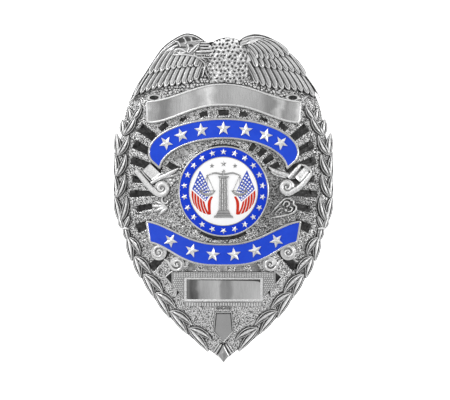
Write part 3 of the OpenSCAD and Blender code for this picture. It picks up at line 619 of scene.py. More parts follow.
# Windows over the sunk rays, as seen from the seal's centre: turn in degrees from the right, half width in
# degrees, and the radii where they start and end. All but those on the middle line have a mirror image.
WINDOWS = [
    (37.5, 2.6, 17.0, 25.4), (28.0, 2.6, 17.0, 24.4), (18.7, 2.6, 15.5, 23.5), (8.0, 2.3, 15.5, 22.1),
    (-1.5, 2.3, 15.7, 22.6), (-11.7, 2.3, 17.4, 21.3), (-23.5, 3.0, 18.5, 22.7), (-46.8, 2.4, 19.0, 25.5),
    (90.0, 3.9, 17.9, 19.8), (75.4, 3.2, 18.1, 19.9), (60.7, 3.0, 19.1, 20.3), (47.2, 3.4, 20.2, 21.9),
    (26.0, 3.0, 11.9, 15.0), (35.5, 3.0, 11.6, 14.6), (45.5, 3.2, 11.6, 14.3), (56.5, 2.8, 11.6, 13.6),
    (-67.8, 3.0, 17.0, 22.0), (-78.5, 3.0, 17.0, 22.0), (-90.0, 3.0, 17.0, 22.0),
    (90.0, 20.0, 9.0, 11.6), (-90.0, 29.0, 9.0, 11.75),
]


def make_ground():
    count = 864
    turns = 360 * np.arange(count) / count
    inner = np.full(count, SEAL_R - 1.2)
    start = np.full(count, SEAL_R + 0.5)
    limit = radius_at(dense(inset(plate_loop, RAY_MARGIN)), turns)
    outer = radius_at(dense(inset(plate_loop, 0.02)), turns)
    rings = [inner + (start - inner) * t for t in np.linspace(0, 1, 9, endpoint=False)]
    rings += [start + (limit - start) * t for t in np.linspace(0, 1, 56, endpoint=False)]
    rings += [limit + (outer - limit) * t for t in np.linspace(0, 1, 21)]
    radius = np.array(rings)[::-1].T
    a = np.radians(turns)[:, None]
    x = radius * np.cos(a)
    y = radius * np.sin(a) + SEAL_Y
    level = 0.08 + 0.10 * pebbles(x, y, 0.52)
    sunk = np.zeros(x.shape, bool)
    for turn, half, low, high in WINDOWS:
        for at in {turn, 180 - turn}:
            away = np.abs((turns - at + 180) % 360 - 180)
            sunk |= (away <= half)[:, None] & (radius > low) & (radius < high)
    level[sunk] = 0.01
    level[:, 0] = 0.01
    around = sunk[:, :-1] & sunk[:, 1:]
    hole = around & np.roll(around, -1, 0)
    relief = Relief()
    relief.grid(np.stack([x, y, level], 2), wrap_rows=True, keep=~hole)
    relief.piece("ground", "bright_metal", pebbled, sharp=180)


# Wreath

class Chased:
    """A piece in three parts: grey bodies, bright edges of painted highlight and dark lines of painted shade
    beside them.
    """

    def __init__(self):
        self.body, self.edges, self.lines = Relief(), Relief(), Relief()

    def parts(self, name, body_metal, *nodes):
        for relief in (self.body, self.edges, self.lines):
            for points in relief.points:
                points[:, 0] = np.clip(points[:, 0], -SHOWN_HALF_W, SHOWN_HALF_W)
        self.body.piece(name + "_relief", "bright_metal", body_metal, *nodes)
        self.edges.piece(name + "_edges", "bright_metal", painted_highlight_edge)
        self.lines.piece(name + "_lines", "bright_metal", painted_shade_line)


def border(line, half, share, beyond, back=0.0):
    """The way along the left border of a form, round its end and back on its right to a share of it."""
    side = left_of(line) * (half * share + beyond)[:, None]
    count = len(line)
    returned = (line - side)[int(back * (count - 1)):][::-1]
    return np.concatenate([line + side, line[-1:] + (line[-1:] - line[-2:-1]) * 0.3, returned])


def leaf(forms, a, b, width, low_level, high_level, bulge=0.0, groove=1):
    """A pointed leaf from a to b with raised rims and a crest in the metal of painted highlights, a dark
    groove of painted shade to the left of the crest, or to the right where groove is -1, and a dark outline
    of painted shade round it. It bulges to its left by a share of its length."""
    a, b = np.asarray(a, float), np.asarray(b, float)
    t = (1 - np.cos(np.linspace(0, np.pi, 21))) / 2
    side = np.array([-(b - a)[1], (b - a)[0]]) * bulge
    line = bezier(a, (a + b) / 2 + side * 2, b, t)
    shape = np.maximum(np.sin(np.pi * t ** 0.85) ** 0.9, 0.04)
    span = high_level - low_level
    rise = span * np.interp(t, [0, 0.25, 0.6, 1], [0.45, 0.9, 1, 0.75]) * (0.45 + 0.55 * shape)

    def top(v):
        tent = np.interp(np.abs(v), [0, 0.15, 0.6, 0.85, 1], [0.92, 0.8, 0.42, 0.2, 0.2])
        return low_level + rise[:, None] * tent
    forms.body.sweep(line, width * shape, top, columns=13)
    half = width * shape / 2
    loop_rise = np.concatenate([rise, rise[-1:], rise[::-1]])[:, None]
    forms.edges.sweep(border(line, half, 0.90, 0.0), 0.17, arched(low_level + 0.42 * loop_rise, 0.14), 0.3,
                      columns=7)
    inner = slice(1, -1)
    forms.edges.sweep(line[inner], 0.40 * (0.25 + 0.75 * shape[inner]),
                      arched(low_level + 0.88 * rise[inner, None], 0.16), 0.3, columns=7)
    inner = slice(3, -3)
    for share, wide in ((0.44 * groove, 0.42), (-0.36 * groove, 0.18)):
        aside = line + left_of(line) * (half * share)[:, None]
        forms.lines.sweep(aside[inner], wide * half[inner], flat(low_level + 0.6 * rise[inner, None]), 0.3,
                          columns=3)
    forms.lines.sweep(border(line, half, 1.0, 0.08), 0.24, flat(low_level + 0.12 * loop_rise), columns=3)


LEAF_LOW = 0.35
LEAF_HIGH = 1.5

# Pairs of leaves on the right side, from the top down: the apex they grow from, the tip of the inner leaf,
# the tip of the outer leaf
UPPER_PAIRS = [
    ((22.2, 18.4), (20.0, 21.6), (22.6, 21.0)),
    ((23.9, 14.9), (21.3, 19.2), (24.3, 18.3)),
    ((25.3, 10.1), (23.0, 14.3), (25.7, 14.9)),
    ((25.7, 5.0), (23.6, 9.7), (26.2, 10.3)),
    ((25.6, 0.0), (23.8, 4.9), (26.3, 5.5)),
    ((24.8, -5.8), (23.4, -0.4), (26.2, 0.2)),
]
LOWER_PAIRS = [
    ((22.8, -9.7), (20.0, -13.7), (22.0, -15.2)),
    ((21.3, -14.3), (17.5, -18.2), (19.8, -19.3)),
    ((19.1, -18.5), (14.5, -23.0), (16.6, -24.0)),
    ((16.3, -23.0), (11.5, -26.5), (13.0, -28.8)),
    ((12.8, -27.3), (7.6, -30.6), (8.7, -32.7)),
    ((8.3, -31.4), (2.9, -34.2), (3.7, -36.9)),
]


def make_wreath(side, name):
    forms = Chased()

    def out(*points):
        return np.array(points, float) * [side, 1]

    def pair(apex, inner_tip, outer_tip, widths, up):
        """Two leaves from one apex, with a bud or a dark cleft of painted shade between them."""
        turn = side * (-1 if up else 1)
        apex, inner_tip, outer_tip = (np.array(p) for p in (apex, inner_tip, outer_tip))
        aside = 0.12 * np.sign(inner_tip - outer_tip) * [1, 0]
        between = 0.55 * apex + 0.225 * (inner_tip + outer_tip)
        if up:
            inner_tip = inner_tip + 0.10 * (inner_tip - apex)
            outer_tip = outer_tip + 0.06 * (outer_tip - apex)
            leaf(forms, *out(apex, between), 0.7, LEAF_LOW, LEAF_HIGH - 0.3, groove=turn)
        else:
            ridge(forms.lines, out(apex, (apex + between) / 2, between), 0.8, LEAF_LOW, 0.1, taper=(0.5, 0.3))
        leaf(forms, *out(apex - aside, outer_tip), widths[1], LEAF_LOW, LEAF_HIGH - 0.1, bulge=-0.04 * turn,
             groove=-turn)
        leaf(forms, *out(apex + aside, inner_tip), widths[0], LEAF_LOW + 0.1, LEAF_HIGH, bulge=-0.075 * turn,
             groove=-turn)

    for row in UPPER_PAIRS[::-1]:
        pair(*row, (1.5, 1.45), True)
    for row in LOWER_PAIRS[::-1]:
        pair(*row, (1.7, 1.6), False)
    leaf(forms, *out((23.9, -7.6), (22.6, -4.6)), 1.1, LEAF_LOW, LEAF_HIGH - 0.2)
    leaf(forms, *out((24.2, -7.4), (24.9, -5.2)), 1.0, LEAF_LOW, LEAF_HIGH - 0.3)
    leaf(forms, *out((23.6, -7.2), (22.8, -10.6)), 1.3, LEAF_LOW, LEAF_HIGH - 0.2)
    ridge(forms.edges, out((22.7, -7.7), (23.5, -7.45), (24.4, -7.7)), 0.55, 0.9, 0.5, taper=(0.7, 0.7))
    forms.parts(name, leaf_silver, name)


# Eagle

HEAD = np.array([0.95, 34.1])
HEAD_R = (4.92, 4.0)
NECK = np.array([0.95, 30.2])
NECK_R = (5.1, 4.3)
HEAD_BOX = (-5.2, 6.6, 25.7, 38.4)

# The wings' leading edges, from the neck out to the tips, in millimetres
LEFT_LEAD = [
    (-4.6, 37.5), (-5.84, 38.35), (-7.14, 38.95), (-8.64, 39.2), (-9.84, 38.95), (-11.44, 38.15),
    (-13.14, 37.05), (-14.64, 35.75), (-15.84, 34.2), (-18.5, 30.1), (-20.5, 26.8), (-22.2, 23.6),
]
RIGHT_LEAD = [
    (3.63, 37.5), (4.72, 38.35), (6.14, 38.95), (7.6, 39.2), (9.24, 39.0), (10.9, 38.45), (12.8, 37.4),
    (15.1, 35.5), (18.4, 31.2), (21.9, 26.4), (23.4, 23.6),
]
# Rows of feathers, the lowest first: feathers, level of the ends, drop to the roots, bend, the line
# of the roots and the line of the ends, each from the outside in
LEFT_ROWS = [
    (11, 1.30, 0.45, -0.03, [(-17.9, 30.4), (-8.7, 31.9), (-4.6, 31.9)],
     [(-21.9, 24.1), (-16.7, 25.9), (-11.7, 26.7), (-8.5, 27.3), (-6.0, 28.4)]),
    (9, 1.70, 0.40, -0.03, [(-15.2, 34.4), (-9.5, 34.7), (-5.2, 33.0)],
     [(-18.4, 29.3), (-15.1, 30.0), (-11.7, 30.7), (-8.5, 31.2), (-5.9, 31.3)]),
]
RIGHT_ROWS = [
    (10, 1.30, 0.45, 0.03, [(18.9, 29.8), (11.3, 31.4), (5.0, 32.2)],
     [(22.3, 23.8), (19.0, 25.3), (14.8, 25.8), (11.2, 26.1), (7.4, 27.4)]),
    (9, 1.70, 0.40, 0.05, [(16.3, 34.0), (11.0, 34.2), (5.6, 34.9)],
     [(20.2, 28.7), (17.3, 29.8), (14.2, 30.4), (10.9, 30.8), (7.2, 31.2)]),
    (7, 2.05, 0.35, 0.11, [(10.8, 37.6), (8.0, 37.0), (5.4, 36.0)],
     [(16.2, 34.1), (13.3, 33.4), (10.9, 33.0), (7.4, 33.3)]),
]


def along(points, share):
    """The place at a share of a smooth curve through the points."""
    line = curve(points, 81)
    return np.array([np.interp(share * 80, np.arange(81), line[:, k]) for k in range(2)])


def feather(forms, root, end, width, level, drop, bend, tilt):
    """A flat feather with a bright edge of painted highlight along its high side and round its end, dark
    lines of painted shade outside that and along its low side. Its left side is the high one, or its right
    side where the tilt is less than 0."""
    t = np.concatenate([np.linspace(0, 0.80, 9), [0.86, 0.91, 0.95, 0.98, 1]])
    side = np.array([-(end - root)[1], (end - root)[0]]) * bend
    line = bezier(root, (root + end) / 2 + side * 2, end, t)
    tip = np.clip((t - 0.80) / 0.20, 0, 1)
    half = width / 2 * (0.84 + 0.16 * t) * np.maximum(1 - tip ** 1.7, 0.02) ** 0.7
    base = level - drop * (1 - t)

    forms.body.sweep(line, 2 * half, lambda v: base[:, None] + tilt * v, 0.25)
    flip = np.array([1 if tilt > 0 else -1, 1])
    line = line * flip
    for relief, share, beyond, lift, rise, wide, back in (
            (forms.edges, 0.80, 0.0, 0.04, 0.14, 0.26, 0.6),
            (forms.lines, 1.0, 0.08, -0.12, 0.0, 0.26, 0.45)):
        path = border(line, half, share, beyond, back)
        start = int(back * (len(line) - 1))
        sides = np.repeat([share, 0, -share], [len(half), 1, len(half) - start])
        steps = np.concatenate([base, base[-1:], base[start:][::-1]]) + lift + abs(tilt) * sides
        place = even(np.column_stack([path, steps]), 34)
        relief.sweep(place[:, :2] * flip, wide, arched(place[:, 2:], rise), 0.25, columns=5)
    shade = (line - left_of(line) * (half * 0.42)[:, None])[:-3]
    forms.lines.sweep(shade * flip, 0.26 * (1 - 0.5 * t[:-3]),
                      flat(base[:-3, None] - 0.42 * abs(tilt) + 0.06), 0.25, columns=3)


def make_wing(forms, lead, rows, side):
    tilt = 0.22 * side
    edge = curve(lead, 30)
    inner = (0.55 * curve(rows[0][5], 30) + 0.45 * curve(rows[0][4], 30))[::-1]
    net = np.array([edge * (1 - k) + inner * k for k in np.linspace(0, 1, 7)])
    level = np.full(net.shape[:2], 0.55)
    level[0] = level[-1] = SEAT
    net = np.concatenate([net, level[..., None]], 2)
    forms.body.grid(net if side > 0 else net[::-1])
    for count, top, drop, bend, roots, ends in rows:
        for k in range(count):
            share = (k + 0.5) / count
            root, end = along(roots, share), along(ends, share)
            way = (end - root) / np.linalg.norm(end - root)
            across = np.array([-way[1], way[0]])
            step = 0.5 / count
            wide_end = abs((along(ends, share + step) - along(ends, share - step)) @ across)
            wide_root = abs((along(roots, share + step) - along(roots, share - step)) @ across)
            feather(forms, root, end, 0.5 * (wide_end + wide_root) * 1.12, top, drop, bend, tilt)
    line = curve(lead, 70)
    inward = left_of(line) * -side
    t = np.linspace(0, 1, 70)
    # Painted shade and painted highlight: a dark line and a light line along the leading edge
    dark_in, light_in = (0.16, 0.48) if side < 0 else (0.50, 0.17)
    dark_w = np.interp(t, [0, 0.1, 0.8, 0.9], [0.3, 0.36, 0.34, 0.1])
    forms.lines.sweep((line + inward * dark_in)[:63], dark_w[:63], round_top(1.35, 0.2), columns=7)
    light_w = np.interp(t, [0, 0.1, 0.6, 1], [0.2, 0.34, 0.32, 0.3])
    forms.edges.sweep(line + inward * light_in, light_w, round_top(1.45, 0.3))


# Ribs, bands and curls of the shoulders, as rows for ribs()
SHOULDER = [
    (0.34, 1.55, 0.35, (0.6, 0.7), [(-9.6, 38.2), (-9.15, 37.6), (-8.95, 37.05), (-9.25, 36.6)]),
    (0.36, 1.55, 0.35, (0.5, 0.9), [(-7.85, 38.2), (-7.6, 37.6), (-7.65, 37.15)]),
    (0.34, 1.55, 0.35, (0.4, 0.7), [(-15.2, 34.6), (-13.6, 35.7), (-12.0, 36.8), (-11.2, 37.25)]),
    (0.40, 1.6, 0.35, (0.7, 0.7), [(-11.6, 37.2), (-10.95, 37.15), (-10.55, 36.6), (-10.3, 35.95)]),
    (0.55, 1.45, 0.35, (0.3, 0.8), [(-14.0, 34.7), (-12.9, 35.4), (-11.9, 36.0), (-10.9, 36.35)]),
    (0.60, 1.5, 0.40, (0.4, 0.5), [(-13.2, 34.9), (-12.4, 35.3), (-11.8, 35.7)]),
    (0.50, 1.5, 0.35, (0.4, 0.7), [(-12.0, 34.9), (-11.0, 35.4), (-9.9, 35.3), (-9.0, 34.6)]),
    (0.55, 1.6, 0.35, (0.5, 0.6), [(-11.0, 34.5), (-10.0, 34.35), (-9.3, 34.6)]),
    (0.42, 1.6, 0.45, (0.7, 0.7), [(-8.75, 36.6), (-8.45, 36.1), (-8.3, 35.5), (-8.7, 34.6)]),
    (0.45, 1.6, 0.30, (0.7, 0.7), [(-12.0, 33.95), (-10.6, 34.05), (-9.2, 34.05), (-7.9, 33.8),
                                   (-6.6, 33.6)]),
    (0.30, 1.6, 0.30, (0.6, 0.7), [(-7.0, 33.65), (-5.8, 33.05), (-4.9, 32.3), (-4.4, 31.6), (-4.6, 30.4),
                                   (-5.1, 28.7)]),
    (0.30, 1.7, 0.25, (0.8, 0.6), [(-7.5, 37.2), (-6.3, 37.3), (-4.9, 37.35)]),
    (0.26, 1.6, 0.22, (0.8, 0.6), [(-7.4, 36.85), (-6.2, 36.9), (-5.3, 36.95)]),
    (0.40, 1.55, 0.35, (0.6, 0.7), [(4.4, 37.5), (5.6, 38.05), (7.4, 38.35), (9.4, 38.2), (11.2, 37.5)]),
    (0.85, 1.60, 0.40, (0.3, 0.5), [(5.6, 36.75), (6.6, 37.0), (7.6, 37.4), (8.2, 37.6)]),
    (0.35, 1.55, 0.35, (0.5, 0.6), [(4.3, 36.9), (5.3, 37.2), (6.2, 37.7)]),
    (0.34, 1.50, 0.30, (0.7, 0.6), [(8.6, 37.5), (10.2, 37.1), (12.0, 36.2), (13.8, 34.9)]),
]
# Plain ground under the ribs of both shoulders, counterclockwise
SHOULDER_FLOOR = [
    [(-15.4, 34.2), (-12.4, 33.9), (-9.0, 34.0), (-6.9, 33.7), (-6.3, 36.2), (-5.0, 37.3), (-6.0, 38.1),
     (-8.6, 38.9), (-11.2, 38.0), (-13.3, 36.7)],
    [(4.0, 36.2), (6.2, 36.6), (9.6, 36.9), (12.3, 36.6), (10.6, 38.2), (7.6, 38.9), (5.2, 38.3),
     (4.0, 37.5)],
]
# Dark cells of painted shade between the ribs of the left shoulder and beside the beak, counterclockwise
SHOULDER_CELLS = [
    [(-11.2, 37.55), (-10.6, 37.0), (-9.9, 36.95), (-9.35, 37.2), (-9.55, 37.9), (-10.3, 38.1)],
    [(-9.0, 37.45), (-8.6, 37.3), (-7.9, 37.45), (-8.1, 38.0), (-8.6, 38.35), (-9.3, 38.2)],
    [(-7.35, 37.65), (-6.6, 37.4), (-5.6, 37.6), (-6.5, 38.15), (-7.5, 38.25)],
    [(-13.2, 35.5), (-12.8, 35.4), (-11.1, 36.6), (-11.3, 36.9), (-12.0, 36.5)],
    [(-11.9, 35.75), (-8.9, 35.7), (-8.9, 36.0), (-11.0, 36.1)],
    [(-8.1, 36.0), (-7.4, 35.9), (-7.2, 36.3), (-7.7, 36.6), (-8.2, 36.5)],
    [(-12.9, 33.7), (-12.4, 33.4), (-11.9, 33.9), (-12.2, 34.2)],
    [(-6.3, 35.3), (-5.75, 35.15), (-5.6, 35.5), (-5.85, 35.75)],
]
# The hooked beak and the bars behind it
BEAK = [
    (0.50, 1.90, 0.45, (0.6, 0.3), [(-5.75, 36.65), (-6.5, 36.1), (-7.25, 35.4), (-8.1, 34.7), (-8.7, 34.4)]),
    (0.42, 1.75, 0.40, (0.7, 0.4), [(-5.75, 36.6), (-6.2, 35.8), (-6.85, 35.0), (-7.6, 34.45)]),
    (0.34, 2.00, 0.30, (0.8, 0.8), [(-5.5, 36.32), (-4.4, 36.3), (-3.3, 36.3)]),
    (0.38, 1.95, 0.35, (0.8, 0.8), [(-5.5, 35.62), (-4.2, 35.6), (-3.0, 35.62)]),
    (0.26, 2.05, 0.25, (0.8, 0.8), [(-5.4, 36.85), (-3.9, 36.85), (-2.7, 37.2)]),
    (0.55, 1.90, 0.45, (0.5, 0.9), [(-6.6, 34.75), (-5.0, 34.8), (-3.5, 34.85), (-2.3, 34.9)]),
    (0.32, 1.65, 0.35, (0.7, 0.7), [(-6.85, 34.4), (-6.9, 33.9), (-6.3, 33.4), (-5.2, 33.15), (-4.5, 32.75)]),
    (0.30, 1.55, 0.35, (0.7, 0.7), [(-6.3, 34.05), (-4.6, 34.1), (-3.0, 34.1)]),
    (0.30, 1.50, 0.35, (0.5, 0.8), [(-5.4, 33.5), (-4.0, 33.3), (-2.8, 33.4)]),
]
# Long feathers at the left of the breast
NECK_FEATHERS = [
    [(-4.2, 32.0), (-3.7, 30.6), (-3.0, 29.3)], [(-3.5, 32.1), (-2.6, 30.9), (-2.1, 29.6)],
    [(-2.7, 32.2), (-1.9, 31.2), (-1.3, 30.2)], [(-4.4, 30.6), (-4.0, 29.4), (-3.4, 28.5)],
]


def make_eagle():
    forms = Chased()
    make_wing(forms, LEFT_LEAD, LEFT_ROWS, -1)
    make_wing(forms, RIGHT_LEAD, RIGHT_ROWS, 1)
    # The ribs of the shoulders and the beak are in the lighter metal of painted highlights
    ribs(forms.edges, SHOULDER + BEAK)
    for loop in SHOULDER_FLOOR:
        forms.body.plateau(np.array(loop), [(0, 1.3), (0.1, 1.4)], SEAT)
    for loop in SHOULDER_CELLS:
        forms.lines.plateau(np.array(loop), [(0, 1.45), (0.02, 1.5)], 1.0)
    for points in NECK_FEATHERS:
        ridge(forms.body, points, 0.5, 1.0, 0.5, taper=(0.4, 0.9))
    head = Relief()
    head.bead((-3.25, 35.95), 0.36, 1.95, 0.45, 12, low=1)
    for x, y, size in scattered(-5.6, -2.4, 33.3, 34.2, 0.6, 0.3, 6.6):
        head.bead((x, y), 0.2 + 0.06 * size, 1.6, 0.25, 8, low=1)
    make_lumps(head)
    make_head(head)
    head.piece("eagle_head", "bright_metal", head_silver)
    make_pit_floors(forms.lines)
    # A dark line of painted shade round the top of the head
    crest = arc(HEAD, np.array(HEAD_R) + 0.04, 24, 150, 60)
    forms.lines.sweep(crest, 0.15, flat(0.8), columns=3)
    forms.parts("eagle", grey_relief, "eagle")


def away_from(x, y, centre, radii):
    """Square of the distance from a centre, 1 on the ellipse round it."""
    return ((x - centre[0]) / radii[0]) ** 2 + ((y - centre[1]) / radii[1]) ** 2


def head_level(x, y):
    """Level of the head and the breast, below 0 where there is neither."""
    ball = 1 - away_from(x, y, HEAD, HEAD_R)
    breast = 1 - away_from(x, y, NECK, NECK_R)
    dome = np.maximum(1.9 * np.sqrt(np.maximum(ball, 0)), 1.5 * np.sqrt(np.maximum(breast, 0)))
    return np.where((ball > 0) | (breast > 0), 0.6 + dome, -1.0)


def scattered(x_from, x_to, y_from, y_to, pitch, jog, seed):
    """Places on a loose hexagonal net, moved about by noise, with a number from -1 to 1 each."""
    rows = int((y_to - y_from) / (pitch * 0.87)) + 1
    columns = int((x_to - x_from) / pitch) + 1
    for row in range(rows):
        for column in range(columns):
            x = x_from + (column + 0.5 * (row % 2)) * pitch
            y = y_from + row * pitch * 0.87
            shift = noise.noise_vector((x * 2.3, y * 2.3, seed))
            yield x + shift[0] * jog, y + shift[1] * jog, shift[2]


def rank_top_line(x):
    return RANK_TOP - RANK_DROP * bow(x, RANK_BOW_W, 1)


def head_pits():
    """Places of the pits, with their turn, half length, half width and depth."""
    for x, y, size in scattered(*HEAD_BOX, 1.04, 0.6, 4.2):
        yield x, y, 2.5 * size + 0.4, 0.33 + 0.14 * abs(size), 0.23, 0.75 + 0.3 * size


def make_pit_floors(relief):
    """Flat dark floors of painted shade low in the pits."""
    ring = 2 * np.pi * np.arange(12) / 12
    for x, y, turn, long, short, depth in head_pits():
        level = float(head_level(x, y))
        if level < 1.1 or y < rank_top_line(x) + 0.5:
            continue
        out = np.stack([np.cos(ring) * long, np.sin(ring) * short], 1) * 0.72
        way = np.array([math.cos(turn), math.sin(turn)])
        loop = np.array([x, y]) + out[:, :1] * way + out[:, 1:] * np.array([-way[1], way[0]])
        relief.plateau(loop, [(0, level - 0.68 * depth), (0.02, level - 0.66 * depth)], level - depth - 0.1)


def make_head(relief):
    """A rounded head and breast whose skin has small deep pits between lumps."""
    x, y = np.meshgrid(np.linspace(-4.6, 6.4, 120), np.linspace(25.7, 38.3, 136), indexing="ij")
    level = head_level(x, y)
    inside = (level > 0) & (y > rank_top_line(x) + 0.15)
    skin = np.zeros(x.shape)
    for px, py, turn, long, short, depth in head_pits():
        along_x = (x - px) * math.cos(turn) + (y - py) * math.sin(turn)
        along_y = (y - py) * math.cos(turn) - (x - px) * math.sin(turn)
        away = np.hypot(along_x / long, along_y / short)
        skin += 0.10 * np.exp(-((away - 1.9) / 0.6) ** 2) - depth * np.exp(-away ** 2)
    for px, py, size in scattered(*HEAD_BOX, 0.62, 0.4, 1.7):
        skin += 0.05 * size * np.exp(-((x - px) ** 2 + (y - py) ** 2) / 0.06)
    level = np.where(inside, np.maximum(level + skin, 0.3), SEAT)
    corner = inside[:-1, :-1] | inside[1:, :-1] | inside[:-1, 1:] | inside[1:, 1:]
    relief.grid(np.stack([x, y, level], 2), keep=corner)


def make_lumps(relief):
    """Coarse lumps between the feathers and the rank panel."""
    for x, y, size in scattered(-14.5, 14.8, 22.5, 32.5, 0.72, 0.5, 9.7):
        panel_top = rank_top_line(x)
        wing_low = np.interp(x, *zip(*sorted((LEFT_ROWS if x < 0 else RIGHT_ROWS)[0][5])))
        gap = panel_top + 0.3 < y < wing_low + (0.3 if abs(x) > 5 else 3)
        if gap and away_from(x, y, NECK, NECK_R) >= 0.9:
            relief.bead((x, y), 0.36 + 0.12 * size, 0.25 + 0.2 * (abs(x) < 9), 0.5 + 0.2 * size, 8, low=0.02)


# Bands: the rank panel and the two ribbons

def bow(x, half, power):
    return (1 - np.cos(np.pi * (np.abs(x) / half) ** power)) / 2


def bowed_lines(half, top, bottom, fall, top_power, bottom_power, narrow):
    """The bottom and the top line of a bowed band, both from the left to the right."""
    s = np.linspace(-1, 1, 57)
    low_x = s * (half - narrow)
    top_x = s * half
    low = np.stack([low_x, bottom - fall * bow(low_x, 0.97 * half, bottom_power)], 1)
    high = np.stack([top_x, top - fall * bow(top_x, 1.03 * half, top_power)], 1)
    return low, high


def rounded(loop, radius):
    """The loop with its sharp corners rounded."""
    loop = np.array(loop)
    out = []
    n = len(loop)
    for i in range(n):
        a, b, c = loop[i - 1], loop[i], loop[(i + 1) % n]
        before, after = b - a, c - b
        turn = abs(math.degrees(math.atan2(before[0] * after[1] - before[1] * after[0], before @ after)))
        if turn < 40:
            out.append(b)
            continue
        reach = radius * math.tan(math.radians(turn) / 2)
        p = b - before * min(reach / np.linalg.norm(before), 0.49)
        q = b + after * min(reach / np.linalg.norm(after), 0.49)
        out.extend(bezier(p, b, q, np.linspace(0, 1, 5)))
    return np.array(out)


def soft_loop(low_line, high_line, radius):
    """The loop round a band, with rounded corners."""
    low_in, high_in = (even(line, len(line), radius) for line in (low_line, high_line))
    t = np.linspace(0, 1, 6)
    parts = [low_in]
    for here, there, before, after in ((low_line[-1], high_line[-1], low_in[-1], high_in[-1]),
                                       (high_line[0], low_line[0], high_in[0], low_in[0])):
        step = (there - here) / np.linalg.norm(there - here) * radius
        parts += [bezier(before, here, here + step, t)[1:], bezier(there - step, there, after, t)[:-1]]
        if len(parts) == 3:
            parts.append(high_in[::-1])
    return np.concatenate(parts)


def rim(relief, loop, width, level):
    """A raised rounded frame that follows a loop on its inner side."""
    relief.sweep(inset(loop, width / 2), width, lambda v: level - 0.22 * np.abs(v) ** 2.5, closed=True)


def band_face(relief, low_line, high_line, trim, level, edge_lift):
    """A face between two lines, inset at all sides, that rises a little at its borders."""
    low_line, high_line = (even(line, len(line), trim[0]) for line in (low_line, high_line))
    across = high_line - low_line
    length = np.linalg.norm(across, axis=1, keepdims=True)
    start = low_line + across / length * trim[1]
    end = high_line - across / length * trim[1]
    t = np.linspace(0, 1, 13)
    place = start[:, None] * (1 - t[:, None]) + end[:, None] * t[:, None]
    lift = edge_lift * np.exp(-np.minimum(t, t[::-1]) * length / 0.18)
    relief.slab(np.concatenate([place, (level + lift)[..., None]], 2))


def make_rank_panel():
    relief = Relief()
    low_line, high_line = bowed_lines(BAND_HALF_W, RANK_TOP, RANK_BOTTOM, RANK_DROP, 1, 1.15, 0.3)
    rim(relief, soft_loop(low_line, high_line, 0.9), 0.5, 1.42)
    face, ears = Relief(), Relief()
    band_face(face, low_line, high_line, (0.48, 0.46), 1.12, 0)
    squeeze = (1.55, 0.72)
    for centre in ((-16.6, 23.75), (16.6, 23.75)):
        relief.lathe(centre, [1.16, 1.12, 1.0, 0.82, 0.70, 0.68], [SEAT, 0.85, 1.1, 1.1, 0.9, 0.4], 44,
                     squeeze)
        ears.lathe(centre, [0.74, 0.4, 0], [0.62, 0.66, 0.68], 40, squeeze)
    face.piece("rank_panel_face", "polished_metal", polished_face, "rank_panel")
    ears.piece("rank_panel_ears", "polished_metal", painted_shade_floor)
    relief.piece("rank_panel_rim", "bright_metal", satin)


def upper_lines():
    outer = arc((0, UPPER_TOP - UPPER_DROP), (UPPER_HALF_W, UPPER_DROP), 194, -14, 61)
    inner = arc((0, UPPER_BOTTOM - UPPER_INNER_DROP), (UPPER_INNER_HALF_W, UPPER_INNER_DROP), 180, 0, 61)
    return inner, outer


def lower_lines():
    return bowed_lines(BAND_HALF_W, LOWER_TOP, LOWER_BOTTOM, -LOWER_RISE, *LOWER_BOWS, 0.9)


def star(relief, centre, radius, turn, level, peak, low):
    """A five pointed star with a sharp ridge along each ray."""
    a = np.radians(90 + turn + 36 * np.arange(10))
    rays = np.stack([np.cos(a), np.sin(a)], 1) * np.tile([[radius], [radius * 0.42]], (5, 1))
    relief.plateau(np.asarray(centre) + rays, [(0, level)], low, peak)


# Places and turns of stars along the ribbons, at a share from -1 to 1

def upper_spot(t):
    a = math.radians(90 - 56 * t)
    x = (UPPER_HALF_W + UPPER_INNER_HALF_W) / 2 * math.cos(a)
    y = (UPPER_TOP + UPPER_BOTTOM + (UPPER_DROP + UPPER_INNER_DROP) * (math.sin(a) - 1)) / 2
    return x, y, -42 * t * abs(t)


def lower_spot(t):
    x = 0.674 * BAND_HALF_W * t
    y = (LOWER_TOP + LOWER_BOTTOM + LOWER_RISE * sum(bow(x, BAND_HALF_W, power) for power in LOWER_BOWS)) / 2
    return x, y, 30 * t


def make_ribbon(name, lines, spots):
    low_line, high_line = lines
    metal, stars = Relief(), Relief()
    rim(metal, soft_loop(low_line, high_line, 0.7), FRAME_W + 0.06, RIBBON_LEVEL + 0.06)
    for x, y, turn in spots:
        star(stars, (x, y), 1.72, turn, RIBBON_LEVEL + 0.05, RIBBON_LEVEL + 0.38, 1.0)
    metal.piece(name + "_frame", "bright_metal", nickel, name + "_ribbon")
    stars.piece(name + "_stars", "bright_metal", satin, sharp=12)
    colour = Relief()
    band_face(colour, low_line, high_line, (0.3, 0.3), RIBBON_LEVEL - 0.14, 0.05)
    colour.piece(name + "_ribbon_enamel", "ribbon_blue", ribbon_blue, name + "_enamel")


# Scrolls beside the seal and tails under the lower ribbon

def spiral(centre, radius, start, turns, way, shrink=0.2, count=54):
    """A line that winds inwards from an angle in degrees. Way is 1 for counterclockwise."""
    t = np.linspace(0, 1, count)
    a = np.radians(start + way * 360 * turns * t)
    r = radius * (1 - (1 - shrink) * t ** 0.85)
    return np.asarray(centre) + np.stack([np.cos(a), np.sin(a)], 1) * r[:, None]


def ridge(relief, points, width, level, rise, count=26, low=SEAT, taper=(1, 1)):
    """A rounded band along a smooth curve through the points, thinner to its ends by the taper."""
    line = curve(points, count)
    t = np.linspace(0, 1, count)
    share = np.interp(t, [0, 0.25, 0.7, 1], [taper[0], 1, 1, taper[1]])
    relief.sweep(line, width * share, arched(level, rise * share[:, None]), low, columns=11)


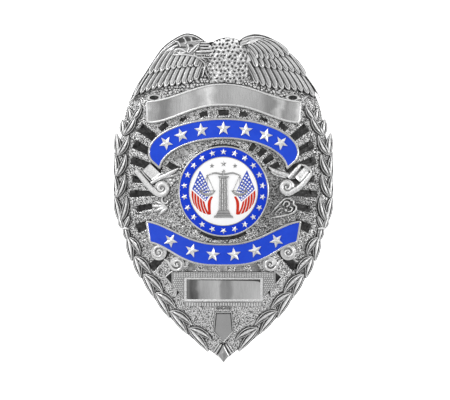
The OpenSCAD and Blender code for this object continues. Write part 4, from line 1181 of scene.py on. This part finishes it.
def ribs(relief, rows):
    """Ridges from rows of width, level, rise, taper at both ends, and points."""
    for width, level, rise, taper, points in rows:
        ridge(relief, points, width, level, rise, taper=taper)


def panel(relief, corners, level, tilt):
    """A flat folded strip with a thin raised rim, whose level falls along its second side by a tilt."""
    a, b, c, d = np.array(corners)
    n = 12
    u = np.linspace(0, 1, n)[:, None, None]
    v = np.linspace(0, 1, n)[None, :, None]
    place = (a * (1 - u) + b * u) * (1 - v) + (d * (1 - u) + c * u) * v
    lift = level - tilt * v ** 2 + 0.12 * (np.abs(u - 0.5) > 0.42)
    relief.slab(np.concatenate([place, lift], 2))


def volute_disc(relief, centre, radius, level):
    """The sunk floor inside a volute."""
    relief.lathe(centre, [radius, radius, radius * 0.6, 0], [SEAT, level, level + 0.12, level + 0.2], 40)


def rolled_ribbon(relief, centre, start, way, strip, widths):
    """A ribbon that runs along a strip of points and winds round the floor of its volute."""
    volute_disc(relief, centre, 1.75, 0.75)
    line = np.concatenate([curve(strip, 14)[:-1], spiral(centre, 1.72, start, 1.45, way)])
    t = np.linspace(0, 1, len(line))
    relief.sweep(line, np.interp(t, [0, 0.2, 0.5, 1], widths), arched(1.45 - 0.25 * t[:, None], 0.62),
                 columns=11)


def make_scroll_right():
    relief = Relief()
    rolled_ribbon(relief, (15.17, 2.40), -38, -1, [(20.9, 5.5), (19.2, 3.35), (17.4, 1.7)],
                  [1.0, 1.35, 1.1, 0.5])
    panel(relief, [(17.0, 4.75), (19.5, 7.3), (20.75, 6.2), (18.35, 3.45)], 0.95, 0.45)
    ribs(relief, [
        (0.95, 0.95, 0.60, (0.8, 0.7), [(15.6, 4.45), (16.9, 6.05), (18.4, 7.7)]),
        (1.05, 0.70, 0.60, (0.25, 0.9), [(10.75, 7.2), (12.1, 6.2), (13.6, 5.65), (15.3, 5.2), (16.1, 4.5)]),
        (0.60, 0.60, 0.45, (0.3, 0.8), [(11.3, 6.1), (12.6, 5.2), (14.0, 4.9), (15.0, 4.6)]),
        (0.50, 0.80, 0.50, (0.6, 0.9), [(18.3, 7.75), (19.6, 7.4), (20.8, 6.4), (20.9, 5.5)]),
        (0.42, 0.55, 0.50, (0.3, 0.8), [(11.3, -3.95), (12.6, -2.5), (13.9, -1.1), (14.9, -0.35),
                                        (15.8, -0.45), (16.2, -0.95)]),
        (0.40, 0.65, 0.50, (1, 1), [(14.2, -2.0), (14.7, -1.15), (15.5, -1.2), (15.6, -1.95), (15.0, -2.35)]),
        (0.40, 0.65, 0.50, (1, 1), [(15.3, -3.5), (16.1, -3.4), (16.4, -2.7), (15.8, -2.35)]),
        (0.30, 0.50, 0.40, (0.3, 0.8), [(12.3, -3.9), (13.4, -2.9), (14.1, -2.6)])])
    ridge(relief, [(16.0, -0.6), (16.7, -1.0), (16.75, -1.8), (17.35, -2.3), (17.15, -3.3), (16.1, -4.0),
                   (14.3, -4.45), (12.4, -4.8), (10.8, -5.1)], 0.5, 0.6, 0.6, count=44, taper=(0.8, 0.25))
    relief.bead((14.9, -3.2), 0.3, 0.9, 0.3)
    relief.piece("scroll_right_relief", "bright_metal", scroll_silver, "scroll_right")


def make_scroll_left():
    relief = Relief()
    rolled_ribbon(relief, (-14.76, 2.09), 218, 1, [(-21.0, 6.4), (-19.1, 4.1), (-16.9, 1.5)],
                  [1.15, 1.4, 1.1, 0.5])
    panel(relief, [(-17.0, 4.0), (-19.3, 6.3), (-17.55, 8.0), (-15.0, 5.5)], 1.15, 0.25)
    ribs(relief, [
        (0.45, 0.80, 0.50, (0.6, 0.6), [(-19.6, 6.3), (-18.5, 4.9), (-17.0, 3.4)]),
        (1.15, 0.70, 0.60, (0.7, 0.25), [(-17.3, 3.3), (-15.6, 4.4), (-13.4, 5.35), (-10.7, 6.85)]),
        (0.60, 0.60, 0.45, (0.6, 0.25), [(-16.9, 3.6), (-14.8, 4.55), (-12.8, 4.9), (-10.75, 5.55)]),
        (0.60, 0.60, 0.60, (0.6, 0.5), [(-14.5, 0.25), (-14.75, -0.5), (-14.45, -1.3), (-13.6, -1.5),
                                        (-13.2, -0.7)])])
    for at, radius in (((-12.7, 4.05), 0.42), ((-11.85, 3.95), 0.42), ((-12.3, 3.3), 0.46)):
        relief.bead(at, radius, 0.7, 0.45, 12)
    for end, wide in (((-17.0, -2.2), 0.9), ((-16.6, -3.4), 0.9), ((-15.4, -4.3), 0.9), ((-16.2, -1.1), 0.7)):
        middle = ((end[0] - 13.2) / 2, (end[1] - 2.6) / 2 + 0.2)
        ridge(relief, [(-13.4, -2.6), middle, end], wide, 0.45, 0.55, taper=(0.5, 0.35))
    for k in range(16):
        x = -12.55 - 0.55 * math.sin(1.9 * k) - 0.02 * k
        relief.bead((x, 2.7 - 0.34 * k), 0.26, 0.55, 0.35, 8)
    relief.piece("scroll_left_relief", "bright_metal", scroll_silver, "scroll_left")


def make_tail(side, hand):
    relief = Relief()
    mirror_x = np.array([side, 1])
    for centre, radius, start in (((15.45, -13.25), 1.9, 150), ((11.1, -16.05), 1.8, -20)):
        spot = centre * mirror_x
        volute_disc(relief, spot, radius * 0.98, 0.65)
        wind = spiral(spot, radius * 0.9, start if side > 0 else 180 - start, 1.35, -side, 0.22, 44)
        relief.sweep(wind, np.linspace(0.80, 0.50, 44), arched(1.05, 0.5))
        relief.bead(spot, 0.34, 1.1, 0.35, 12)
    line = [(9.75, -16.9), (11.3, -17.5), (12.6, -16.6), (13.3, -15.4), (14.2, -14.9)]
    ridge(relief, line * mirror_x, 0.75, 0.6, 0.5, taper=(0.5, 0.5))
    relief.piece("tail_relief_" + hand, "bright_metal", scroll_silver, "tail_" + hand)


# Seal

def make_seal():
    centre = (0, SEAL_Y)
    metal, stars, colour, field = Relief(), Relief(), Relief(), Relief()
    ring_out = SEAL_R - 0.32
    ring_in = FIELD_R + 0.22
    enamel_level = SEAL_LEVEL - 0.08
    metal.lathe(centre, [SEAL_R, SEAL_R, SEAL_R - 0.05, SEAL_R - 0.2, ring_out, ring_out],
                [SEAT, SEAL_LEVEL, SEAL_LEVEL + 0.04, SEAL_LEVEL + 0.05, SEAL_LEVEL - 0.02, SEAL_LEVEL - 0.3])
    metal.lathe(centre, [ring_in, ring_in, ring_in - 0.06, FIELD_R + 0.06, FIELD_R, FIELD_R],
                [SEAL_LEVEL - 0.3, SEAL_LEVEL - 0.04, SEAL_LEVEL + 0.04, SEAL_LEVEL + 0.04, SEAL_LEVEL - 0.04,
                 SEAL_LEVEL - 0.3])
    metal.piece("seal_rim", "polished_metal", nickel, "seal_disc")
    middle = (ring_in + ring_out) / 2
    for k in range(22):
        a = 2 * math.pi * k / 22 + math.pi / 2
        spot = (middle * math.cos(a), SEAL_Y + middle * math.sin(a))
        star(stars, spot, 0.78, math.degrees(a) - 90, SEAL_LEVEL, SEAL_LEVEL + 0.14, SEAL_LEVEL - 0.4)
    stars.piece("seal_ring_stars", "bright_metal", satin, sharp=12)
    colour.lathe(centre, [ring_out, ring_out - 0.1, middle, ring_in + 0.1, ring_in],
                 [enamel_level - 0.05, enamel_level, enamel_level - 0.03, enamel_level, enamel_level - 0.05])
    colour.piece("seal_ring_enamel", "ring_blue", ring_blue, "ring_enamel")
    field.lathe(centre, [FIELD_R, FIELD_R - 0.1, FIELD_R * 0.6, FIELD_R * 0.3, 0],
                [enamel_level - 0.05, enamel_level, enamel_level, enamel_level, enamel_level])
    field.piece("seal_field", "white_enamel", white, "field_enamel")
    make_bunting()
    make_scales()


def draped(relief, side, left_line, right_line, level, lift):
    """A strip of enamel between two lines that run down, with a soft rounded top."""
    a, b = curve(left_line, 14), curve(right_line, 14)
    t = np.linspace(0, 1, 7)[None, :, None]
    place = a[:, None] * (1 - t) + b[:, None] * t
    rise = level + lift * np.sqrt(np.maximum(1 - (2 * t[..., 0] - 1) ** 2, 0)) + 0 * place[..., 0]
    rise[0] = rise[-1] = level
    net = np.concatenate([place * [side, 1] + [0, SEAL_Y], rise[..., None]], 2)
    relief.grid(net if side > 0 else net[:, ::-1])


def make_bunting():
    """Draped bunting on both sides: a blue field of white dots above five red stripes."""
    red_form, blue_form, dots = Relief(), Relief(), Relief()
    level = SEAL_LEVEL - 0.075
    upper_corner, inner_corner = np.array([5.6, 5.0]), np.array([2.95, -0.4])
    outer_corner, lower_corner = np.array([7.45, 0.55]), np.array([4.25, -2.4])
    feet = np.array([(7.15, -2.9), (6.45, -3.95), (5.7, -4.7), (4.8, -5.2), (3.9, -5.5), (3.0, -5.65)])
    heads = [outer_corner * (1 - k / 5) + lower_corner * (k / 5) + (0.12, -0.28) for k in range(6)]
    for side in (-1, 1):
        draped(blue_form, side, [inner_corner, (inner_corner + upper_corner) / 2 + (-0.15, 0), upper_corner],
               [lower_corner, (lower_corner + outer_corner) / 2 + (0.1, 0.1), outer_corner], level, 0.05)
        for row in range(7):
            for k in range(5):
                u, v = (k + 0.6) / 5.2, (row + 0.6 + 0.5 * (k % 2)) / 7.7
                near = inner_corner * (1 - v) + upper_corner * v
                far = lower_corner * (1 - v) + outer_corner * v
                spot = (near * (1 - u) + far * u) * [side, 1] + [0, SEAL_Y]
                dots.bead(spot, 0.23, level + 0.03, 0.06, 8, low=level - 0.1)
        for k in range(5):
            top_in, foot_in = heads[k] * 0.24 + heads[k + 1] * 0.76, feet[k] * 0.24 + feet[k + 1] * 0.76
            bow_out = (heads[k] + feet[k]) / 2 + (0.22, 0)
            bow_in = (top_in + foot_in) / 2 + (0.22, 0)
            draped(red_form, side, [top_in, bow_in, foot_in], [heads[k], bow_out, feet[k]], level, 0.10)
        fold_in = [(2.95, -5.5), (3.05, -3.6), (2.9, -2.2), (2.45, -1.3)]
        fold_out = [(3.55, -5.5), (3.75, -3.9), (3.7, -2.5), (3.0, -1.2)]
        draped(red_form, side, fold_in, fold_out, level, 0.10)
    red_form.piece("bunting_red_enamel", "red_enamel", red, "bunting_red")
    blue_form.piece("bunting_blue_enamel", "ribbon_blue", canton_blue, "bunting_blue")
    dots.piece("bunting_dots", "white_enamel", white)


def make_scales():
    """A pair of scales on a fluted column, under three stars."""
    relief, stars = Relief(), Relief()
    level = SEAL_LEVEL - 0.05
    low = SEAL_LEVEL - 0.4

    def at(x, y):
        return (x, SEAL_Y + y)

    def bar(a, b, width, rise, count=10):
        ridge(relief, [a, ((a[0] + b[0]) / 2, (a[1] + b[1]) / 2), b], width, level, rise, count, low=low)
    for half_low, half_high, y_low, y_high, rise in (
            (1.15, 0.95, -4.6, 3.2, 0.12), (2.3, 2.2, -6.3, -5.75, 0.22), (1.8, 1.7, -5.8, -5.3, 0.25),
            (1.6, 1.3, -5.3, -4.5, 0.28), (1.05, 1.35, 3.1, 3.6, 0.28)):
        relief.plateau(both_sides([at(half_low, y_low), at(half_high, y_high)]),
                       [(0, level + rise - 0.08), (0.08, level + rise)], low)
    for x in (-0.84, -0.28, 0.28, 0.84):
        ridge(relief, [at(x * 1.1, -4.5), at(x, -0.7), at(x * 0.9, 3.1)], 0.38, level, 0.28, 10, low=low)
    relief.bead(at(0, 4.75), 0.42, level, 0.3, 20)
    bar(at(0, 3.5), at(0, 4.7), 0.42, 0.26)
    ridge(relief, [at(-4.1, 3.7), at(-2.2, 4.35), at(0, 4.05), at(2.2, 4.35), at(4.1, 3.7)], 0.5, level, 0.28,
          30, low=low, taper=(0.6, 0.6))
    for arm in (-3.85, 3.85):
        relief.bead(at(arm, 3.75), 0.24, level, 0.26, 12)
        for spread in (-1.65, 0, 1.65):
            bar(at(arm, 3.75), at(arm + spread, 0.05), 0.15, 0.14, count=6)
        bowl = [at(arm + x, y) for x, y in ((-1.9, 0.1), (-1.1, -0.55), (0, -0.8), (1.1, -0.55), (1.9, 0.1))]
        ridge(relief, bowl, 0.62, level, 0.24, 22, low=low, taper=(0.25, 0.25))
        bar(at(arm - 1.95, 0.12), at(arm + 1.95, 0.12), 0.24, 0.26)
    for x, y, size in ((-2.75, 6.05, 0.62), (0, 6.55, 0.78), (2.75, 6.05, 0.62)):
        star(stars, at(x, y), size, 0, SEAL_LEVEL - 0.02, SEAL_LEVEL + 0.16, low)
    relief.piece("scales_emblem", "bright_metal", emblem_metal, "seal_emblem")
    stars.piece("field_stars", "bright_metal", emblem_metal, sharp=12)


# Number panel

PANEL_TOP = NUMBER_TOP - STRIP_H
PANEL_BOTTOM = PANEL_TOP - NUMBER_H
NUMBER_LEVEL = 1.2
HALF = NUMBER_W / 2 + FRAME_W
WIDE = HALF + KNURL_W
HEEL = WIDE - 0.44 * KNURL_W
# The right side of the knurled plate round the number panel, from the bottom up
PANEL_SIDE = [
    (HALF, NUMBER_BOTTOM), (HALF, PANEL_TOP - 0.94 * NUMBER_H), (HEEL, PANEL_TOP - 0.55 * NUMBER_H),
    (WIDE, PANEL_TOP - 0.4 * NUMBER_H), (WIDE, NUMBER_TOP),
]
PITCH = 0.58
LOWER_PITCH = 0.62


def knurl(relief, x, y, width, tall):
    """A blunt pyramid of a knurl."""
    corners = np.array([(-1, -1, 0), (1, -1, 0), (1, 1, 0), (-1, 1, 0)]) * [width / 2, tall / 2, 0]
    foot = corners + [x, y, NUMBER_LEVEL - 0.15]
    top = corners * 0.6 + [x, y, NUMBER_LEVEL]
    relief.add(np.concatenate([foot, top]),
               [(0, 1, 5, 4), (1, 2, 6, 5), (2, 3, 7, 6), (3, 0, 4, 7), (4, 5, 6, 7), (3, 2, 1, 0)])


def inside_panel(x, y):
    """How far a place is within the knurled plate's sides."""
    widths, heights = zip(*PANEL_SIDE)
    return np.interp(y, heights, widths) - abs(x)


def frame_grid(relief, rings):
    """Nested rectangles (half width, low y, high y, level) joined by quads."""
    loops = []
    for half, low_y, high_y, level in rings:
        corners = np.array([(-half, low_y), (half, low_y), (half, high_y), (-half, high_y)])
        loop = dense(corners, 12)
        loops.append(np.column_stack([loop, np.full(len(loop), level)]))
    relief.grid(np.array(loops).transpose(1, 0, 2), wrap_rows=True)


def make_number_panel():
    metal, knurls, plate = Relief(), Relief(), Relief()
    top = NUMBER_LEVEL
    hole = NUMBER_W / 2
    metal.plateau(dense(np.array(both_sides(PANEL_SIDE)), 6), [(0, top - 0.25), (0.12, top - 0.15)], SEAT)
    frame_grid(knurls, [
        (hole + 0.62, PANEL_BOTTOM - 0.55, PANEL_TOP + 0.42, top - 0.2),
        (hole + 0.58, PANEL_BOTTOM - 0.50, PANEL_TOP + 0.38, top + 0.06),
        (hole + 0.40, PANEL_BOTTOM - 0.36, PANEL_TOP + 0.28, top + 0.17),
        (hole + 0.12, PANEL_BOTTOM - 0.12, PANEL_TOP + 0.10, top + 0.14),
        (hole, PANEL_BOTTOM, PANEL_TOP, top + 0.05),
        (hole, PANEL_BOTTOM, PANEL_TOP, top - 0.14)])
    columns = int((2 * WIDE - 0.5) / PITCH)
    for y, tall in ((NUMBER_TOP - 0.20, 0.28), (NUMBER_TOP - 0.64, 0.42), (NUMBER_TOP - 1.10, 0.34)):
        for k in range(columns):
            knurl(knurls, (k - (columns - 1) / 2) * PITCH, y, PITCH * 0.78, tall)
    columns = int((2 * HALF - 0.4) / LOWER_PITCH)
    for k in range(columns):
        knurl(knurls, (k - (columns - 1) / 2) * LOWER_PITCH, NUMBER_BOTTOM + 0.46, 0.40, 0.80)
    for row in range(12):
        y = NUMBER_TOP - 1.52 - 0.46 * row
        for k in range(8):
            x = hole + 0.92 + 0.48 * k + 0.24 * (row % 2)
            if inside_panel(x, y) > 0.28:
                knurl(knurls, -x, y, 0.40, 0.37)
                knurl(knurls, x, y, 0.40, 0.37)
    metal.piece("number_frame", "bright_metal", knurl_ground_shade, "number_panel")
    knurls.piece("number_knurling", "bright_metal", painted_highlight_edge, sharp=25)
    x, y = np.meshgrid(np.linspace(-hole, hole, 40), np.linspace(PANEL_BOTTOM, PANEL_TOP, 14), indexing="ij")
    plate.grid(np.stack([x, y, np.full(x.shape, top - 0.12)], 2))
    plate.piece("number_plate", "polished_metal", mirror)
    shade = Relief()
    line = curve([(-hole, PANEL_TOP - 0.08), (0, PANEL_TOP - 0.14), (hole - 0.8, PANEL_TOP - 0.22),
                  (hole, PANEL_TOP - 0.5)], 30)
    line_w = np.interp(np.linspace(0, 1, 30), [0, 0.5, 0.9, 1], [0.16, 0.24, 0.44, 0.7])
    shade.sweep(line, line_w, flat(top - 0.1), top - 0.12, columns=3)
    shade.sweep([(-hole + 0.08, PANEL_BOTTOM + 0.2), (-hole + 0.08, PANEL_TOP - 0.1)], 0.16, flat(top - 0.1),
                top - 0.12, columns=3)
    shade.sweep([(-hole - 0.8, NUMBER_TOP + 0.02), (hole + 0.8, NUMBER_TOP + 0.02)], 0.2, flat(top - 0.5),
                columns=3)
    shade.piece("number_shade", "polished_metal", painted_shade_line)
    arrows, floors = Relief(), Relief()
    for side in (-1, 1):
        mirror_x = np.array([side, 1])
        line = [(11.35, -17.25), (12.7, -18.05), (13.95, -19.15), (12.8, -20.5), (11.6, -21.7),
                (11.25, -22.5), (11.45, -23.8)]
        arrows.sweep(even(line * mirror_x, 44), 0.40, round_top(0.35, 0.55), 0.02)
        for loop in ([(12.2, -17.5), (13.75, -19.15), (11.9, -21.1), (12.3, -19.7), (12.3, -18.4)],
                     [(10.35, -21.75), (11.35, -21.95), (11.1, -22.6), (11.2, -23.5), (10.6, -22.9)]):
            floors.plateau(loop * mirror_x, [(0, 0.24)], 0.02)
    arrows.piece("number_arrows", "bright_metal", scroll_silver)
    floors.piece("arrow_floors", "bright_metal", painted_shade_floor)


# Tip

TIP_POINT = DROP_H + 3 * SEAT - BADGE_H / 2
TIP_LEVEL = 1.3


def make_tip():
    wide = 2.45
    wide_y = TIP_POINT + 0.36 * (TIP_TOP - TIP_POINT)
    top = (0.83 * wide, TIP_TOP - 0.05 * wide)
    loop = dense(rounded([(0, TIP_POINT)] + both_sides([(wide, wide_y), top]), 0.12), 3)
    plate, edge, groove = Relief(), Relief(), Relief()
    rim(edge, loop, 0.30, TIP_LEVEL + 0.05)
    edge.piece("tip_shield_rim", "bright_metal", nickel)
    groove.plateau(inset(loop, 0.2), [(0, 0.55), (0.02, 0.6)], SEAT)
    groove.piece("tip_shield_groove", "polished_metal", painted_shade_floor)
    inner_right = [(wide - 0.38, wide_y + 0.05), (0.83 * wide - 0.40, TIP_TOP - 0.56)]
    inner = dense(rounded([(0, TIP_POINT + 0.32)] + both_sides(inner_right), 0.1), 3)
    plate.plateau(inner, [(0, TIP_LEVEL - 0.14), (0.08, TIP_LEVEL - 0.06)], SEAT)
    plate.piece("tip_shield_plate", "polished_metal", grey_plate, "tip_shield")
    drop, kite, base = Relief(), Relief(), Relief()
    low = -BADGE_H / 2
    outline = rounded([(0, low)] + both_sides([(1.46, low + 1.9), (0.06, low + DROP_H)]), 0.3)
    kite.plateau(dense(outline, 3), [(0, 1.0), (0.16, 1.2), (0.3, 1.3)], SEAT, peak=1.42)
    kite.piece("drop_kite", "bright_metal", grey_plate, "tip_drop")
    base_right = [(0.9, low + 2.4), (2.0, low + 2.5), (0.5, low + 4.75)]
    base.plateau([(0, low + 3.0)] + both_sides(base_right), [(0, 0.45), (0.05, 0.5)], SEAT)
    base.piece("drop_base", "bright_metal", painted_shade_floor)
    for side in (-1, 1):
        ridge(drop, [(side * 0.50, low + DROP_H), (side * 1.2, low + 3.5), (side * 1.9, low + 2.35)], 0.52,
              0.75, 0.5, taper=(0.6, 0.8))
        ridge(drop, [(side * 1.0, low + 4.8), (side * 1.75, low + 3.7), (side * 2.4, low + 2.8)], 0.42,
              0.6, 0.45, taper=(0.5, 0.7))
    drop.piece("drop_ribs", "bright_metal", satin)
    detail = Relief()
    for y in (TIP_LINE_Y, TIP_LINE_Y - 0.35):
        ridge(detail, [(-1.8, y), (0, y), (1.8, y)], 0.2, 0.2, 0.2, low=0.02)
    detail.bead((0, TIP_LINE_Y), 0.26, 0.3, 0.2, 12, low=0.02)
    for side in (-1, 1):
        detail.bead((side * 8.05, -27.2), 0.42, 0.1, 0.3, 14, squeeze=(1.3, 0.8), low=0.02)
        detail.bead((side * 8.9, -26.8), 0.3, 0.1, 0.25, 12, low=0.02)
    detail.piece("tip_details", "bright_metal", nickel)


# Scene

def make_floor():
    mesh = bpy.data.meshes.new("floor")
    reach = 0.6
    mesh.from_pydata([(-reach, -reach, 0), (reach, -reach, 0), (reach, reach, 0), (-reach, reach, 0)], [],
                     [(0, 1, 2, 3)])
    floor = bpy.data.objects.new("floor", mesh)
    bpy.context.scene.collection.objects.link(floor)
    mat, _, shader = new_material("pale_floor", (0.95, 0.95, 0.95), 0, 0.8)
    glow(shader, 0.9)
    mesh.materials.append(mat)


def area_light(name, place, target, size, power):
    data = bpy.data.lights.new(name, "AREA")
    data.shape = "RECTANGLE"
    data.size, data.size_y = size
    data.energy = power
    light = bpy.data.objects.new(name, data)
    light.location = place
    way = Vector(target) - Vector(place)
    light.rotation_euler = way.to_track_quat("-Z", "Y").to_euler()
    bpy.context.scene.collection.objects.link(light)


def make_world():
    """A studio tent: soft grey cloth with brighter and darker panels, dark near the floor."""
    world = bpy.data.worlds.new("studio")
    bpy.context.scene.world = world
    world.use_nodes = True
    tree = world.node_tree
    coords = tree.nodes.new("ShaderNodeTexCoord")
    x, y, z = axes(tree, coords.outputs["Generated"])
    up = ramp(tree, z, [
        (0.0, 0.10), (0.15, 0.22), (0.32, 0.44), (0.55, 0.50), (0.80, 0.50), (1.0, 0.50)])
    patches = tree.nodes.new("ShaderNodeTexNoise")
    patches.inputs["Scale"].default_value = 4.2
    patches.inputs["Detail"].default_value = 1.2
    tree.links.new(coords.outputs["Generated"], patches.inputs["Vector"])
    panels = ramp(tree, patches.outputs["Fac"], [
        (0.34, 0.45), (0.44, 0.80), (0.54, 1.05), (0.60, 1.35), (0.68, 1.9)])
    lean = math_node(tree, "SUBTRACT", y, x)
    from_side = ramp(tree, math_node(tree, "ADD", math_node(tree, "MULTIPLY", lean, 0.35), 0.5),
                     [(0.0, 0.55), (0.35, 0.9), (0.6, 1.0), (1.0, 1.15)])
    lit = combine(tree, "MULTIPLY", combine(tree, "MULTIPLY", up, panels), from_side)
    tree.links.new(lit, tree.nodes["Background"].inputs["Color"])
    tree.nodes["Background"].inputs["Strength"].default_value = 1.4


def make_camera():
    """Straight above, with pixels of PIXEL_W millimetres at the badge's mean height."""
    data = bpy.data.cameras.new("camera")
    data.lens = 250
    data.sensor_width = 36
    wide = PICTURE_PIXELS * PIXEL_W * MM
    distance = wide * data.lens / data.sensor_width
    camera = bpy.data.objects.new("camera", data)
    camera.location = (0.36 * MM, -0.72 * MM, 1.5 * MM + distance)
    data.clip_start = 0.01
    bpy.context.scene.collection.objects.link(camera)
    bpy.context.scene.camera = camera


make_ground()
make_wreath(1, "wreath_right")
make_wreath(-1, "wreath_left")
make_eagle()
make_rank_panel()
make_ribbon("upper", upper_lines(), [upper_spot(k / 3 - 1) for k in range(7)])
make_ribbon("lower", lower_lines(), [lower_spot(2 * k / 5 - 1) for k in range(6)])
make_scroll_right()
make_scroll_left()
make_tail(1, "right")
make_tail(-1, "left")
make_seal()
make_number_panel()
make_tip()
bpy.context.scene.view_settings.view_transform = "Standard"
make_floor()
make_world()
make_camera()
area_light("key", (-0.48, 0.50, 0.40), (0, 0, 0), (0.60, 0.16), 2.2)
area_light("fill", (0.62, 0.05, 0.34), (0, 0, 0), (0.10, 0.60), 1.0)

for name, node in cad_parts.items():
    if not node.hide_render:
        node.data.materials.clear()
        node.data.materials.append({"pin_clasp": steel, "shield_plate": rayed}.get(name, nickel))
